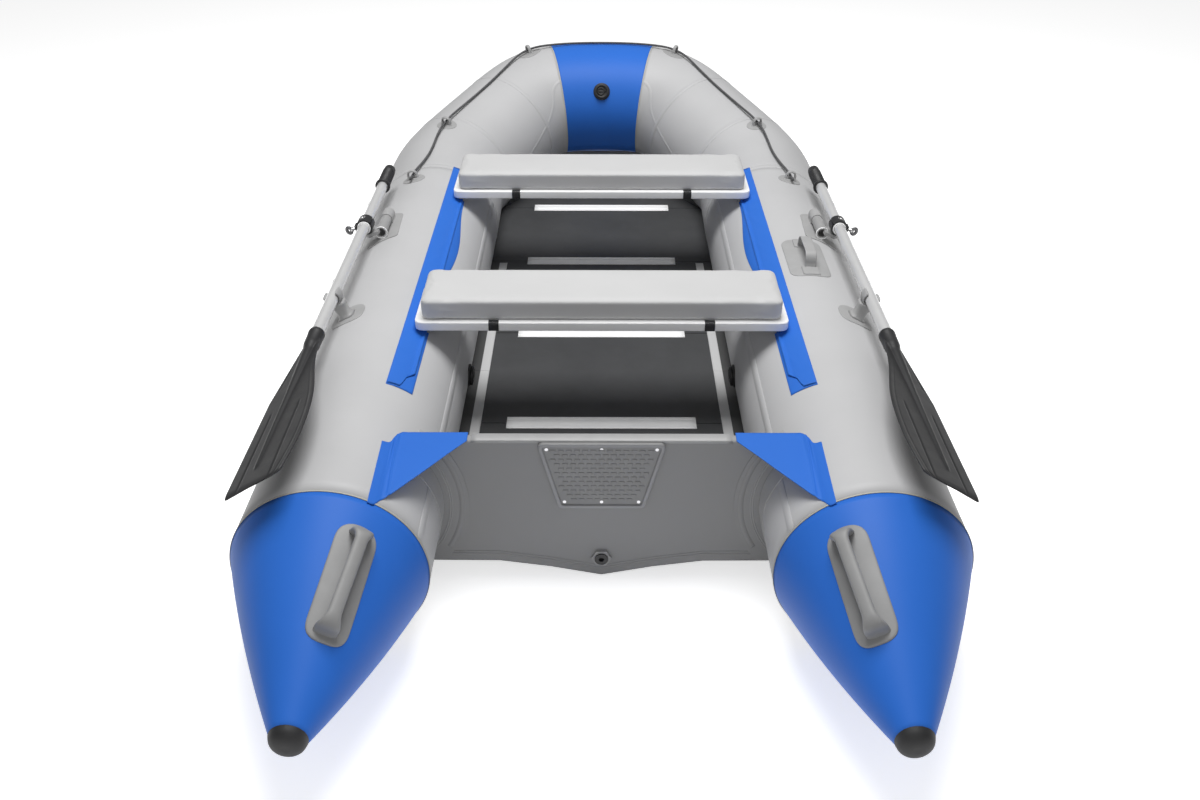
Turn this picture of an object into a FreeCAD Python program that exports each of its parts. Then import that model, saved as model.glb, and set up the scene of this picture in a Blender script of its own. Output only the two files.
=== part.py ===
import FreeCAD, Part

import math
import os

# Inflatable dinghy: two air tubes with stern cones, a raised bow, a plywood transom, floor panels
# over an inflatable keel, two sliding bench seats and two oars stowed along the tubes.
#
# Millimetres.  +X is starboard, +Y is towards the bow, +Z is up.  The origin is under the middle
# of the boat, level with the keel guard that it stands on.  A "station" is a distance ahead of
# the seam between side tube and stern cone.  A "turn" runs from 0 where the tube starts to curve
# in to 1 at the middle of the bow.  Angles on a tube count from its top, outboard positive.
# Everything paired is made for starboard and mirrored.

Vector = FreeCAD.Vector

# ---------------------------------------------------------------- driving dimensions

GLUE_GAP = 0.3             # between a curved face and the glued or laid piece on it
FABRIC = 1.2               # coated fabric

TUBE_RADIUS = 210.0
HALF_SPACING = 574.0       # from the middle plane to a side tube's axis
SIDE_TUBE_LENGTH = 1800.0  # from the cone seam to the seam with the bow tube
BOW_STRAIGHT = 230.0       # straight part of the bow tube, before its axis turns in
CURVE_LEAD = 256.0
CURVE_KNEE_X = 220.0
CURVE_KNEE = 491.0         # from the curve's start
BOW_FLAT_HALF = 407.0
BOW_RUN = 572.0            # from the curve's start to the middle of the bow
BOW_SHEER = 190.0          # rise of the axis at the bow
CENTRE_SEAM_TURN = 0.85    # where the bow tubes meet the bow centre tube
GORE_TURNS = (0.0, 0.06, 0.13, 0.3, 0.6, 0.68, 0.76)   # seams between the bow tube's panels

CONE_LENGTH = 450.0
CONE_TIP_RADIUS = 32.0
CONE_TOE_IN = 18.0
CONE_BULGE = 9.0
CAP_OVERLAP = 6.0
CAP_WALL = 1.5
CAP_REACH = 18.0           # from the end of the cone's fabric to the cap's end

KEEL_DROP = 14.0           # keel line under the tubes' lowest line
KEEL_RISE = 300.0          # where the keel starts to rise, behind the bow tubes' seam
KEEL_TUBE_REACH = 200.0    # ahead of that seam
SKIN_ANGLE = 147.4         # where the bottom skin meets the tube
SKIN_SEAT = 1.5            # its underside over the tube
SKIN_END_TURN = 0.92
GULL = ((0.0, 0.0), (0.265, 0.57), (0.527, 0.97), (1.0, 1.0))
GUARD_THICKNESS = 2.5
GUARD_HALF = 30.0
GUARD_INSET = 40.0         # ahead of the transom
GUARD_REACH = 115.0        # ahead of the bow tubes' seam

TRANSOM_STATION = 232.0    # aft face
TRANSOM_THICKNESS = 27.0
TRANSOM_DROP = 40.0        # top edge under the tubes' highest line
TRANSOM_EDGE_ROUND = 7.0
COLLAR_WIDTH = 60.0
COLLAR_THICKNESS = 1.5

PAD_TOP_HALF = 145.0
PAD_BOTTOM_HALF = 98.0
PAD_HEIGHT = 181.0
PAD_THICKNESS = 8.0
PAD_RIM = 9.0
PAD_POCKET = 2.0
PAD_ROUND = 12.0
PAD_DROP = 3.0             # pad's top edge under the transom's top
INNER_PAD_WIDTH = 230.0
INNER_PAD_HEIGHT = 140.0
INNER_PAD_THICKNESS = 5.0
SCREW_RADIUS = 2.0
SCREW_HEAD = 4.0
SCREW_HEAD_HEIGHT = 1.8
SCREW_LENGTH = 20.0
SCREW_CLEARANCE = 0.15
SCREW_SUNK = 0.1           # head under the pad's face

GUSSET_THICKNESS = 1.6
GUSSET_REACH = 153.6       # inboard from where the transom's top meets the tube
GUSSET_BEND = 76.6         # same for the middle of its free edge
GUSSET_STRIP = 8.2         # width of its strip on the tube, degrees
GUSSET_TIP = 230.0         # behind the transom's aft face
GUSSET_OVERLAP = 3.0       # past the transom's front

DRAIN_HEIGHT = 43.0
DRAIN_ACROSS_FLATS = 42.0
DRAIN_FLANGE = 8.0
DRAIN_BODY_RADIUS = 16.0
DRAIN_BORE = 12.5
DRAIN_NUT_RADIUS = 22.0
DRAIN_NUT = 6.0
PLUG_CLEARANCE = 0.3
PLUG_LIP = 3.5

FLOOR_TOP = 120.0
PANEL_THICKNESS = 12.0
PANEL_SHARES = (0.20575, 0.45335, 0.70802, 0.9415)   # joints, as shares of the floor's length
PANEL_INSET = 16.0         # ahead of the transom
PANEL_REACH = 458.0        # ahead of the bow tubes' seam
PANEL_GAP = 3.0
PROFILE_HALF = 255.0
PROFILE_FLANGE = 54.0
PROFILE_THICKNESS = 2.0
STRINGER_WALL = 2.5
STRINGER_FLANGE = 58.0
STRINGER_TUBE_GAP = 0.8
STRINGER_INSET = 63.0      # ahead of the transom
STRINGER_SPLICE = 950.0
STRINGER_STOP = 140.0      # behind the bow tubes' seam

SEAT_OVERHANG = 24.8       # past the rails' beads
SEAT_DEPTH = 212.0
SEAT_THICKNESS = 24.0
SEAT_LIFT = 5.4            # board's ends over the rails' flaps
SEAT_CORNER = 24.0
REAR_SEAT_STATION = 786.0
FRONT_SEAT_INSET = 148.0   # behind the bow tubes' seam
CUSHION_MARGIN = 8.0
CUSHION_DEPTH = 204.0
CUSHION_HEIGHT = 56.0
CUSHION_CORNER = 26.0
CUSHION_EDGE = 12.0
RAIL_AFT = 400.0
RAIL_REACH = 15.0          # ahead of the bow tubes' seam
RAIL_OUTER_ANGLE = -19.0
RAIL_INNER_ANGLE = -37.0
RAIL_FLAP_ANGLE = -34.5
RAIL_BEAD_ANGLE = -34.0
RAIL_BEAD_HALF = 1.0       # degrees
RAIL_BEAD_HEIGHT = 4.3
SLIDE_LENGTH = 150.0
SLIDE_INSIDE = 8.7         # from the bead
SLIDE_OUTSIDE = 19.3
SLIDE_HOLD = 8.9           # under the bead's crest
SLIDE_CLEARANCE = 0.4

STRAKE_ANGLE = 104.0
STRAKE_BASE_HALF = 7.0     # degrees
STRAKE_TOP_HALF = 3.5      # degrees
STRAKE_PROUD = 22.0
STRAKE_SINK = 3.0          # trimmed off again against the tube

OAR_RADIUS = 16.0
OAR_WALL = 1.6
OAR_HEIGHT = 63.7          # its axis over the tube
OAR_AXIS_ANGLE = 26.5
SWING_TILT = 18.0          # the swing axis leans outboard
PIVOT_INSET = 574.0        # behind the bow tubes' seam
CLAMP_RADIUS = 24.0
CLAMP_LENGTH = 40.0
CLAMP_SPLIT = 1.5
CLAMP_GRIP_GAP = 0.2
BARREL_RADIUS = 16.0
BARREL_HEIGHT = 20.0       # its axis over the tube
BARREL_ANGLE = 20.6
BARREL_AFT_END = 12.0      # these four are distances ahead of the pivot
BARREL_BOW_END = 106.0
LUG_BOW_END = 158.0
PIN_AFT_END = 46.0
LUG_RADIUS = 17.5
LUG_GAP = 1.5
PIN_RADIUS = 12.0
PIN_CLEARANCE = 0.08
EYE_TOP = 27.0             # swivel eye under the shaft's axis
EYE_THICKNESS = 9.0
EYE_RADIUS = 13.0
PIVOT_RADIUS = 6.0
PIVOT_HEAD = 9.0
PIVOT_HEAD_HEIGHT = 2.5
PIVOT_PLAY = 0.5
ARM_BEHIND = 12.0
ARM_AHEAD = 40.0
LOCK_PATCH = 2.0
LOCK_PATCH_ANGLE = 23.0
LOCK_PATCH_CORNER = 16.0
LOCK_PATCH_OUTLINE = ((-52.0, 4.0), (50.0, -22.0), (44.0, 192.0), (10.0, 200.0), (-44.0, 170.0))
WING_SHANK = 4.0
WING_REACH = 50.0
WING_SPAN = 30.0
WING_DEPTH = 14.0
WING_THICKNESS = 4.0
SHAFT_LENGTH = 1110.0
SHAFT_BEHIND = 694.0       # shaft's blade end, behind the pivot
GRIP_LENGTH = 150.0
GRIP_CAP = 30.0            # past the shaft's end
GRIP_RADIUS = 19.5
GRIP_RIBS = 9
GRIP_RIB_DEPTH = 1.2
SOCKET_DEPTH = 30.0        # places along the blade count from this far ahead of the shaft's end
BLADE_NECK_BOW = 16.0
BLADE_NECK_AFT = -40.0
BLADE_NECK_RADIUS = 19.5
BLADE_TILT = 30.0
BLADE_THICKNESS = 6.0
BLADE_RIDGE_END = -530.0
BLADE_RIDGE_TIP = 5.0
BLADE_CORNERS = -550.0     # corners behind this are rounded
BLADE_CORNER = 9.0
BLADE_INNER = ((-20.0, -28.0), (-40.0, -148.0), (-82.0, -317.0), (-93.0, -458.0), (-74.0, -590.0))
BLADE_OUTER = ((60.0, -608.0), (57.0, -260.0), (50.0, -208.0), (20.0, 20.0))
CLIP_BEHIND = 454.0        # from the pivot
CLIP_WIDTH = 24.0
CLIP_WALL = 5.5
CLIP_MOUTH = 44.0          # half of the opening, degrees
CLIP_FOOT = 16.0
CLIP_PATCH_LENGTH = 92.0

HANDLE_STATION = 180.0     # behind the cone seam, along its axis
HANDLE_ANGLE = -29.0
HANDLE_LENGTH = 258.0
HANDLE_WIDTH = 86.0
HANDLE_PATCH = 3.0
HANDLE_BAR = 10.0
HANDLE_HEIGHT = 36.0
HANDLE_BEND = 18.0
CARRY_BEHIND = 141.0       # from the oar's pivot
CARRY_ANGLE = 2.5
CARRY_LENGTH = 240.0
CARRY_WIDTH = 116.0
CARRY_STRAP = 30.0
CARRY_THICKNESS = 4.0
CARRY_SPAN = 132.0
CARRY_HEIGHT = 44.0

VALVE_STATION = 810.0
VALVE_ANGLE = -95.0
BOW_VALVE_ANGLE = -66.0
VALVE_FLANGE = 32.0
VALVE_FLANGE_HEIGHT = 4.0
VALVE_NECK = 21.0
VALVE_HOLE_GAP = 0.5
VALVE_DEPTH = 26.0
VALVE_BORE = 16.0
VALVE_CAP_RADIUS = 27.0
VALVE_CAP_HEIGHT = 9.0
VALVE_CAP_SKIRT = 6.0
VALVE_CAP_WALL = 2.0
VALVE_RIB = 5.0
VALVE_STEM = 3.0
VALVE_DISC_HEIGHT = 3.0
VALVE_GUIDE = 7.0

ROPE_RADIUS = 4.0
RING_RADIUS = 13.0
RING_WIRE = 4.0
RING_HEIGHT = 10.5
EYE_PATCH_LONG = 30.0
EYE_PATCH_WIDE = 24.0
EYE_PATCH_THICKNESS = 2.0

# Places of eyes: station from the bow curve's start, turn, angle.
BOW_EYES = ((-340.0, 0.0, 14.0), (0.0, 0.125, 0.5), (0.0, 0.755, 2.0))
# Station from the bow tube's seam, turn, angle.
SIDE_EYES = ((-100.0, 0.0, 62.0), (-680.0, 0.0, 62.0), (-1470.0, 0.0, 66.0))

# Rope points: station as for the eyes, turn, angle, height of the rope's middle over the tube.
BOW_ROPE = (
    (-375.0, 0.0, 14.6, 14.0), (-305.0, 0.0, 13.2, 14.6), (-200.0, 0.0, 9.0, 8.0),
    (-95.0, 0.0, 5.4, 7.0), (0.0, 0.03, 3.0, 9.0), (0.0, 0.085, 1.2, 14.6),
    (0.0, 0.165, 0.2, 14.6), (0.0, 0.26, -0.6, 9.0), (0.0, 0.36, -0.8, 7.0),
    (0.0, 0.46, -0.6, 7.0), (0.0, 0.57, 0.2, 8.0), (0.0, 0.665, 1.2, 11.0),
    (0.0, 0.725, 2.0, 14.6), (0.0, 0.79, 2.4, 14.6), (0.0, 0.87, 2.8, 9.0),
    (0.0, 0.955, 3.4, 7.0))
SIDE_ROPE = (
    (-65.0, 0.0, 61.4, 14.0), (-135.0, 0.0, 62.6, 14.6), (-230.0, 0.0, 66.0, 8.0),
    (-335.0, 0.0, 68.6, 6.0), (-445.0, 0.0, 69.0, 6.0), (-550.0, 0.0, 66.0, 8.0),
    (-645.0, 0.0, 62.8, 14.6), (-715.0, 0.0, 62.6, 14.6), (-815.0, 0.0, 66.0, 8.0),
    (-925.0, 0.0, 69.6, 6.0), (-1035.0, 0.0, 71.6, 6.0), (-1145.0, 0.0, 71.8, 6.0),
    (-1250.0, 0.0, 70.4, 7.0), (-1350.0, 0.0, 68.0, 9.0), (-1435.0, 0.0, 66.4, 14.6),
    (-1505.0, 0.0, 65.4, 14.0))

# ---------------------------------------------------------------- sizes that follow

TUBE_LIFT = KEEL_DROP + GLUE_GAP + GUARD_THICKNESS   # tubes' lowest line over the ground
AXIS_HEIGHT = TUBE_LIFT + TUBE_RADIUS
CURVE_START = SIDE_TUBE_LENGTH + BOW_STRAIGHT
CURVE_KNEE_Y = CURVE_START + CURVE_KNEE
BOW_REACH = CURVE_START + BOW_RUN
TRANSOM_TOP = 2.0 * TUBE_RADIUS - TRANSOM_DROP       # over the tubes' lowest line
OAR_AXIS_RADIUS = TUBE_RADIUS + OAR_HEIGHT
BARREL_AXIS_RADIUS = TUBE_RADIUS + BARREL_HEIGHT
STRAKE_RADIUS = TUBE_RADIUS + STRAKE_PROUD
BOW_END = BOW_REACH + STRAKE_RADIUS * math.sin(math.radians(STRAKE_ANGLE - STRAKE_TOP_HALF))
STERN_END = CONE_LENGTH + CAP_REACH
SEAM_Y = (STERN_END - BOW_END) / 2.0                 # row position of the cone seam
TRANSOM_FRONT = TRANSOM_STATION + TRANSOM_THICKNESS

KEEL_RISE_START = SIDE_TUBE_LENGTH - KEEL_RISE
KEEL_STATIONS = (TRANSOM_STATION, KEEL_RISE_START, KEEL_RISE_START + KEEL_RISE / 3.0,
                 SIDE_TUBE_LENGTH - KEEL_RISE / 3.0, SIDE_TUBE_LENGTH)
GUARD_BOW = SIDE_TUBE_LENGTH + GUARD_REACH
KEEL_TUBE_BOW = SIDE_TUBE_LENGTH + KEEL_TUBE_REACH

PANEL_AFT = TRANSOM_FRONT + PANEL_INSET
PANEL_BOW_END = SIDE_TUBE_LENGTH + PANEL_REACH
PANEL_JOINTS = tuple(PANEL_AFT + share * (PANEL_BOW_END - PANEL_AFT) for share in PANEL_SHARES)
STRINGER_AFT = TRANSOM_FRONT + STRINGER_INSET
STRINGER_BOW = SIDE_TUBE_LENGTH - STRINGER_STOP
FRONT_SEAT_STATION = SIDE_TUBE_LENGTH - FRONT_SEAT_INSET
RAIL_BOW = SIDE_TUBE_LENGTH + RAIL_REACH
RAIL_FLAP_RADIUS = TUBE_RADIUS + GLUE_GAP + FABRIC
RAIL_TOP_RADIUS = RAIL_FLAP_RADIUS + FABRIC
BEAD_RADIUS = RAIL_TOP_RADIUS + RAIL_BEAD_HEIGHT
BEAD_X = HALF_SPACING + BEAD_RADIUS * math.sin(math.radians(RAIL_BEAD_ANGLE))
BEAD_CREST = TUBE_RADIUS + BEAD_RADIUS * math.cos(math.radians(RAIL_BEAD_ANGLE))
SEAT_LENGTH = 2.0 * (BEAD_X + SEAT_OVERHANG)
SEAT_UNDERSIDE = SEAT_LIFT + TUBE_RADIUS + math.sqrt(
    RAIL_TOP_RADIUS ** 2 - (HALF_SPACING - SEAT_LENGTH / 2.0) ** 2)   # over the lowest line

PIVOT_STATION = SIDE_TUBE_LENGTH - PIVOT_INSET
BARREL_AFT = PIVOT_STATION + BARREL_AFT_END
BARREL_BOW = PIVOT_STATION + BARREL_BOW_END
LUG_BOW = PIVOT_STATION + LUG_BOW_END
PIN_AFT = PIVOT_STATION + PIN_AFT_END
SHAFT_AFT = PIVOT_STATION - SHAFT_BEHIND
SHAFT_BOW = SHAFT_AFT + SHAFT_LENGTH
BLADE_STATION = SHAFT_AFT + SOCKET_DEPTH
GRIP_BOW = SHAFT_BOW + GRIP_CAP
GRIP_AFT = GRIP_BOW - GRIP_LENGTH
CLIP_STATION = PIVOT_STATION - CLIP_BEHIND
CARRY_STATION = PIVOT_STATION - CARRY_BEHIND

FORWARD = Vector(0, 1, 0)
UP = Vector(0, 0, 1)
OUT = Vector(1, 0, 0)


def at_station(station):
    """Row Y of a station."""
    return SEAM_Y + station


def over_tubes(height):
    """Row Z of a height over the tubes' lowest line."""
    return TUBE_LIFT + height


# ---------------------------------------------------------------- the tube's axis

def bezier(turn, points):
    """Point and derivative of a Bezier curve of any degree."""
    degree = len(points) - 1
    value = 0.0
    slope = 0.0
    for i, p in enumerate(points):
        weight = math.comb(degree, i)
        value += weight * (1 - turn) ** (degree - i) * turn ** i * p
    for i in range(degree):
        weight = degree * math.comb(degree - 1, i)
        slope += weight * (1 - turn) ** (degree - 1 - i) * turn ** i * (points[i + 1] - points[i])
    return value, slope


def axis_frame(station, turn=0.0):
    """Place on the starboard tube's axis: point, outboard, up and forward directions."""
    x, dx = HALF_SPACING, 0.0
    y, dy = station, 1.0
    if turn > 0.0:
        x, dx = bezier(turn, (HALF_SPACING, HALF_SPACING, CURVE_KNEE_X, BOW_FLAT_HALF, 0.0))
        y, dy = bezier(turn, (CURVE_START, CURVE_START + CURVE_LEAD, CURVE_KNEE_Y, BOW_REACH,
                              BOW_REACH))
    run = BOW_REACH - SIDE_TUBE_LENGTH
    climb = max(y - SIDE_TUBE_LENGTH, 0.0) / run
    z = AXIS_HEIGHT + BOW_SHEER * climb ** 2
    dz = 2.0 * BOW_SHEER * climb / run * dy
    forward = Vector(dx, dy, dz)
    forward.normalize()
    outboard = Vector(forward.y, -forward.x, 0.0)
    outboard.normalize()
    return Vector(x, at_station(y), z), outboard, outboard.cross(forward), forward


def across_middle(frame):
    """The same section on the port side, with the axis still running starboard to port."""
    point, _, _, forward = frame
    forward = Vector(forward.x, -forward.y, -forward.z)
    outboard = Vector(forward.y, -forward.x, 0.0)
    outboard.normalize()
    return Vector(-point.x, point.y, point.z), outboard, outboard.cross(forward), forward


def on_tube(frame, radius, angle):
    """Point at a distance from the axis and an angle from the top."""
    point, outboard, up, _ = frame
    turn = math.radians(angle)
    return point + outboard * (radius * math.sin(turn)) + up * (radius * math.cos(turn))


def surface_place(frame, angle, height=0.0):
    """Placement on the tube's surface: local X outboard and down, Y forward, Z away from it."""
    _, outboard, up, forward = frame
    turn = math.radians(angle)
    away = outboard * math.sin(turn) + up * math.cos(turn)
    down = outboard * math.cos(turn) - up * math.sin(turn)
    return placement(on_tube(frame, TUBE_RADIUS + height, angle), down, forward, away)


def placement(origin, x_axis, y_axis, z_axis):
    """Placement from an origin and three unit axes."""
    return FreeCAD.Placement(FreeCAD.Matrix(
        x_axis.x, y_axis.x, z_axis.x, origin.x,
        x_axis.y, y_axis.y, z_axis.y, origin.y,
        x_axis.z, y_axis.z, z_axis.z, origin.z,
        0, 0, 0, 1))


# ---------------------------------------------------------------- small makers

def placed(shape, place):
    """A copy of a shape, moved from local to row coordinates."""
    copy = shape.copy()
    copy.Placement = place.multiply(copy.Placement)
    return copy


def mirrored(shape):
    """The port twin of a starboard shape."""
    return shape.mirror(Vector(0, 0, 0), OUT)


def both(shape):
    """Starboard and port pieces as one group."""
    return Part.makeCompound([shape, mirrored(shape)])


def arc(a, b, c):
    """Arc edge through three points."""
    return Part.Arc(a, b, c).toShape()


def line(a, b):
    """Straight edge."""
    return Part.LineSegment(a, b).toShape()


def polygon(points):
    """Closed wire of straight edges."""
    return Part.makePolygon(list(points) + [points[0]])


def prism(points, direction):
    """Solid from a closed polygon and a direction."""
    return Part.Face(polygon(points)).extrude(direction)


def cylinder(radius, length, start, direction=FORWARD):
    """Solid cylinder."""
    return Part.makeCylinder(radius, length, start, direction)


def ring_wire(frame, radius):
    """Circle round the axis, split at top and bottom so that lofts do not twist."""
    top, right, bottom, left = [on_tube(frame, radius, a) for a in (0, 90, 180, 270)]
    return Part.Wire([arc(top, right, bottom), arc(bottom, left, top)])


def sector_wire(frame, inner, outer, start, end):
    """Outline of a band round the axis between two angles."""
    middle = (start + end) / 2.0
    a, b, c = [on_tube(frame, inner, t) for t in (start, middle, end)]
    d, e, f = [on_tube(frame, outer, t) for t in (end, middle, start)]
    return Part.Wire([arc(a, b, c), line(c, d), arc(d, e, f), line(f, a)])


def band(inner, outer, start, end, aft, bow):
    """Curved plate along the straight tube, between two angles and two stations."""
    face = Part.Face(sector_wire(axis_frame(aft), inner, outer, start, end))
    return face.extrude(FORWARD * (bow - aft))


def loft(wires):
    """Smooth solid through closed outlines."""
    return Part.makeLoft(wires, True, False)


def ruled(wires):
    """Solid through closed outlines, straight from each to the next."""
    return Part.makeLoft(wires, True, True)


def fused(shapes):
    """One solid from touching or overlapping solids."""
    return shapes[0].multiFuse(shapes[1:]).removeSplitter()


def rounded_prism(half_x, half_y, corner, bottom, top):
    """Upright block with round corners, centred on the local Z axis."""
    block = Part.makeBox(2 * half_x, 2 * half_y, top - bottom, Vector(-half_x, -half_y, bottom))
    upright = [e for e in block.Edges if abs(e.tangentAt(e.FirstParameter).z) > 0.99]
    return block.makeFillet(corner, upright)


def ellipse_prism(long_half, wide_half, bottom, top):
    """Upright elliptic block with its long axis along local Y."""
    ellipse = Part.Ellipse(Vector(0, long_half, bottom), Vector(wide_half, 0, bottom),
                           Vector(0, 0, bottom))
    return Part.Face(Part.Wire([ellipse.toShape()])).extrude(Vector(0, 0, top - bottom))


def save(name, shape):
    """Write one node and print its make-up."""
    solids = shape.Solids
    volume = sum(s.Volume for s in solids)
    faults = [i for i, s in enumerate(solids) if not s.isValid()]
    print(f"{name}: {len(solids)} solids, {volume / 1000:.1f} cm3, faulty {faults}")
    out = solids[0] if len(solids) == 1 else Part.makeCompound(solids)
    out.exportStep(f"parts/{name}.step")


# ---------------------------------------------------------------- air tubes

BOW_SECTIONS = [(SIDE_TUBE_LENGTH, 0.0), ((SIDE_TUBE_LENGTH + CURVE_START) / 2.0, 0.0),
                (CURVE_START, 0.0)]
BOW_SECTIONS += [(CURVE_START, t / 10.0) for t in range(1, 8)]
BOW_SECTIONS += [(CURVE_START, 0.775), (CURVE_START, CENTRE_SEAM_TURN)]
CENTRE_TURNS = (CENTRE_SEAM_TURN, 0.925)


def bow_solid(radius):
    """Bow tube of a given outer radius, from the side tube to the bow centre tube."""
    return loft([ring_wire(axis_frame(*s), radius) for s in BOW_SECTIONS])


def centre_solid(radius):
    """Bow centre tube of a given outer radius."""
    frames = [axis_frame(CURVE_START, t) for t in CENTRE_TURNS]
    sections = frames + [axis_frame(CURVE_START, 1.0)]
    sections += [across_middle(f) for f in reversed(frames)]
    return loft([ring_wire(f, radius) for f in sections])


def side_solid(radius):
    """Side tube of a given outer radius."""
    return cylinder(radius, SIDE_TUBE_LENGTH, axis_frame(0)[0])


def cone_circle(behind, radius):
    """Circle on the stern cone at a distance behind the seam."""
    shift = CONE_TOE_IN * behind / CONE_LENGTH
    point = axis_frame(-behind)[0] - OUT * shift
    frame = (point, OUT, UP, FORWARD)
    return ring_wire(frame, radius)


def cone_radius(behind):
    """Radius of the stern cone, a straight taper with a slight air bulge."""
    share = behind / CONE_LENGTH
    straight = TUBE_RADIUS + (CONE_TIP_RADIUS - TUBE_RADIUS) * share
    return straight + 4.0 * CONE_BULGE * share * (1.0 - share)


def cone_solid(extra):
    """Stern cone, larger by extra all round."""
    steps = [CONE_LENGTH * i / 4.0 for i in range(5)]
    return loft([cone_circle(s, cone_radius(s) + extra) for s in steps])


def gores(shell):
    """Fabric panels of the bow tube, parted by planes across its axis."""
    reach = 4.0 * TUBE_RADIUS
    block = Part.makeBox(2.0 * reach, 2.0 * reach, 2.0 * reach, Vector(-reach, 0, -reach))
    pieces = []
    for turn in GORE_TURNS:
        point, outboard, up, forward = axis_frame(CURVE_START, turn)
        ahead = placed(block, placement(point, outboard, forward, up))
        pieces += shell.cut(ahead).Solids
        shell = shell.common(ahead)
    return Part.makeCompound(pieces + shell.Solids)


def make_tubes():
    """Air tubes, stern cones with their caps, and the baffles inside."""
    inner = TUBE_RADIUS - FABRIC
    side = side_solid(TUBE_RADIUS).cut(side_solid(inner)).cut(valve_hole(VALVE_STATION, 0.0,
                                                                        VALVE_ANGLE))
    bow = gores(bow_solid(TUBE_RADIUS).cut(bow_solid(inner)))
    centre = centre_solid(TUBE_RADIUS).cut(centre_solid(inner))
    centre = centre.cut(valve_hole(CURVE_START, 1.0, BOW_VALVE_ANGLE))
    cone = cone_solid(0.0).cut(cone_solid(-FABRIC))
    save("starboard_side_tube", side)
    save("port_side_tube", mirrored(side))
    save("starboard_bow_tube", bow)
    save("port_bow_tube", mirrored(bow))
    save("bow_centre_tube", centre)
    save("stern_cones", both(cone))

    start = CONE_LENGTH - CAP_OVERLAP
    rim = cone_radius(start) + GLUE_GAP + CAP_WALL
    steps = ((start, rim), (CONE_LENGTH, rim - 1.5), (CONE_LENGTH + 0.35 * CAP_REACH, rim - 4.0),
             (CONE_LENGTH + 0.65 * CAP_REACH, rim - 9.0),
             (CONE_LENGTH + 0.88 * CAP_REACH, rim - 17.0), (STERN_END, rim - 28.0))
    cap = loft([cone_circle(s, r) for s, r in steps])
    cap = cap.cut(cone_solid(GLUE_GAP))
    save("stern_cone_caps", both(max(cap.Solids, key=lambda s: s.Volume)))

    fit = inner - GLUE_GAP
    baffle = cylinder(fit, FABRIC, axis_frame(SIDE_TUBE_LENGTH - FABRIC)[0])
    save("chamber_baffles", both(baffle))


# ---------------------------------------------------------------- bottom

def keel_height(station):
    """Row Z of the skin's underside on the middle line."""
    end = axis_frame(CURVE_START, SKIN_END_TURN)
    meet = on_tube(end, TUBE_RADIUS + SKIN_SEAT, -SKIN_ANGLE)
    start = TUBE_LIFT - KEEL_DROP
    share = max(station - KEEL_RISE_START, 0.0) / (meet.y - at_station(KEEL_RISE_START))
    return start + (meet.z - start) * share ** 3


def skin_outline(edge):
    """Underside of the bottom skin at one station, from the middle out to the tube."""
    low = keel_height(edge.y - SEAM_Y)
    return [Vector(edge.x * across, edge.y, low + (edge.z - low) * rise) for across, rise in GULL]


def skin_edge(station, turn=0.0):
    """Point where the bottom skin meets the tube."""
    return on_tube(axis_frame(station, turn), TUBE_RADIUS + SKIN_SEAT, -SKIN_ANGLE)


def skin_wire(station, turn=0.0):
    """Outline of the starboard half of the bottom skin at one station."""
    under = skin_outline(skin_edge(station, turn))
    return polygon(under + [p + UP * FABRIC for p in reversed(under)])


def keel_tube_radius(station):
    """Largest tube between the V of the skin and the floor panels."""
    under = skin_outline(skin_edge(station))
    slope = (under[1].z - under[0].z) / (under[1].x - under[0].x)
    room = over_tubes(FLOOR_TOP - PANEL_THICKNESS) - under[0].z - FABRIC - GLUE_GAP
    return room / (1.0 + math.hypot(1.0, slope)) - GLUE_GAP


def make_bottom():
    """Bottom skin in two halves, inflatable keel and the guard strip under it."""
    places = [(s, 0.0) for s in KEEL_STATIONS + (GUARD_BOW, CURVE_START)]
    places += [(CURVE_START, t) for t in (0.12, 0.24, 0.36, 0.48, 0.6, 0.72, 0.82, SKIN_END_TURN)]
    skin = ruled([skin_wire(*p) for p in places]).cut(bow_solid(TUBE_RADIUS + GLUE_GAP))
    save("bottom_skin", both(skin))

    rings = []
    for station in (PANEL_AFT + 12.0,) + KEEL_STATIONS[1:] + (KEEL_TUBE_BOW,):
        radius = keel_tube_radius(station)
        middle = over_tubes(FLOOR_TOP - PANEL_THICKNESS) - GLUE_GAP - radius
        frame = (Vector(0, at_station(station), middle), OUT, UP, FORWARD)
        rings.append(ring_wire(frame, radius))
    save("keel_tube", ruled(rings))

    wires = []
    for station in (TRANSOM_STATION + GUARD_INSET,) + KEEL_STATIONS[1:] + (GUARD_BOW,):
        under = skin_outline(skin_edge(station))
        slope = (under[1].z - under[0].z) / (under[1].x - under[0].x)
        y = under[0].y
        top = under[0].z - GLUE_GAP
        low = top - GUARD_THICKNESS
        side = slope * GUARD_HALF
        wires.append(polygon([
            Vector(0, y, top), Vector(GUARD_HALF, y, top + side),
            Vector(GUARD_HALF, y, low + side), Vector(0, y, low),
            Vector(-GUARD_HALF, y, low + side), Vector(-GUARD_HALF, y, top + side)]))
    save("keel_guard_strip", ruled(wires))


# ---------------------------------------------------------------- transom

def transom_outline(station, lift=0.0):
    """Transom outline, wider than the gap between the tubes, standing on the bottom skin."""
    under = skin_outline(skin_edge(station))
    rise = UP * (FABRIC + GLUE_GAP + lift)
    low = [Vector(p.x, at_station(station), p.z) + rise for p in under]
    top = over_tubes(TRANSOM_TOP)
    side = HALF_SPACING - 60.0
    right = low[1:] + [Vector(side, low[0].y, low[-1].z), Vector(side, low[0].y, top)]
    left = [Vector(-p.x, p.y, p.z) for p in reversed(right)]
    return [low[0]] + right + left


def tube_pair(radius, aft, bow):
    """Both straight tubes as solid cylinders between two stations."""
    rod = cylinder(radius, bow - aft, axis_frame(aft)[0])
    return Part.makeCompound([rod, mirrored(rod)])


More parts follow.
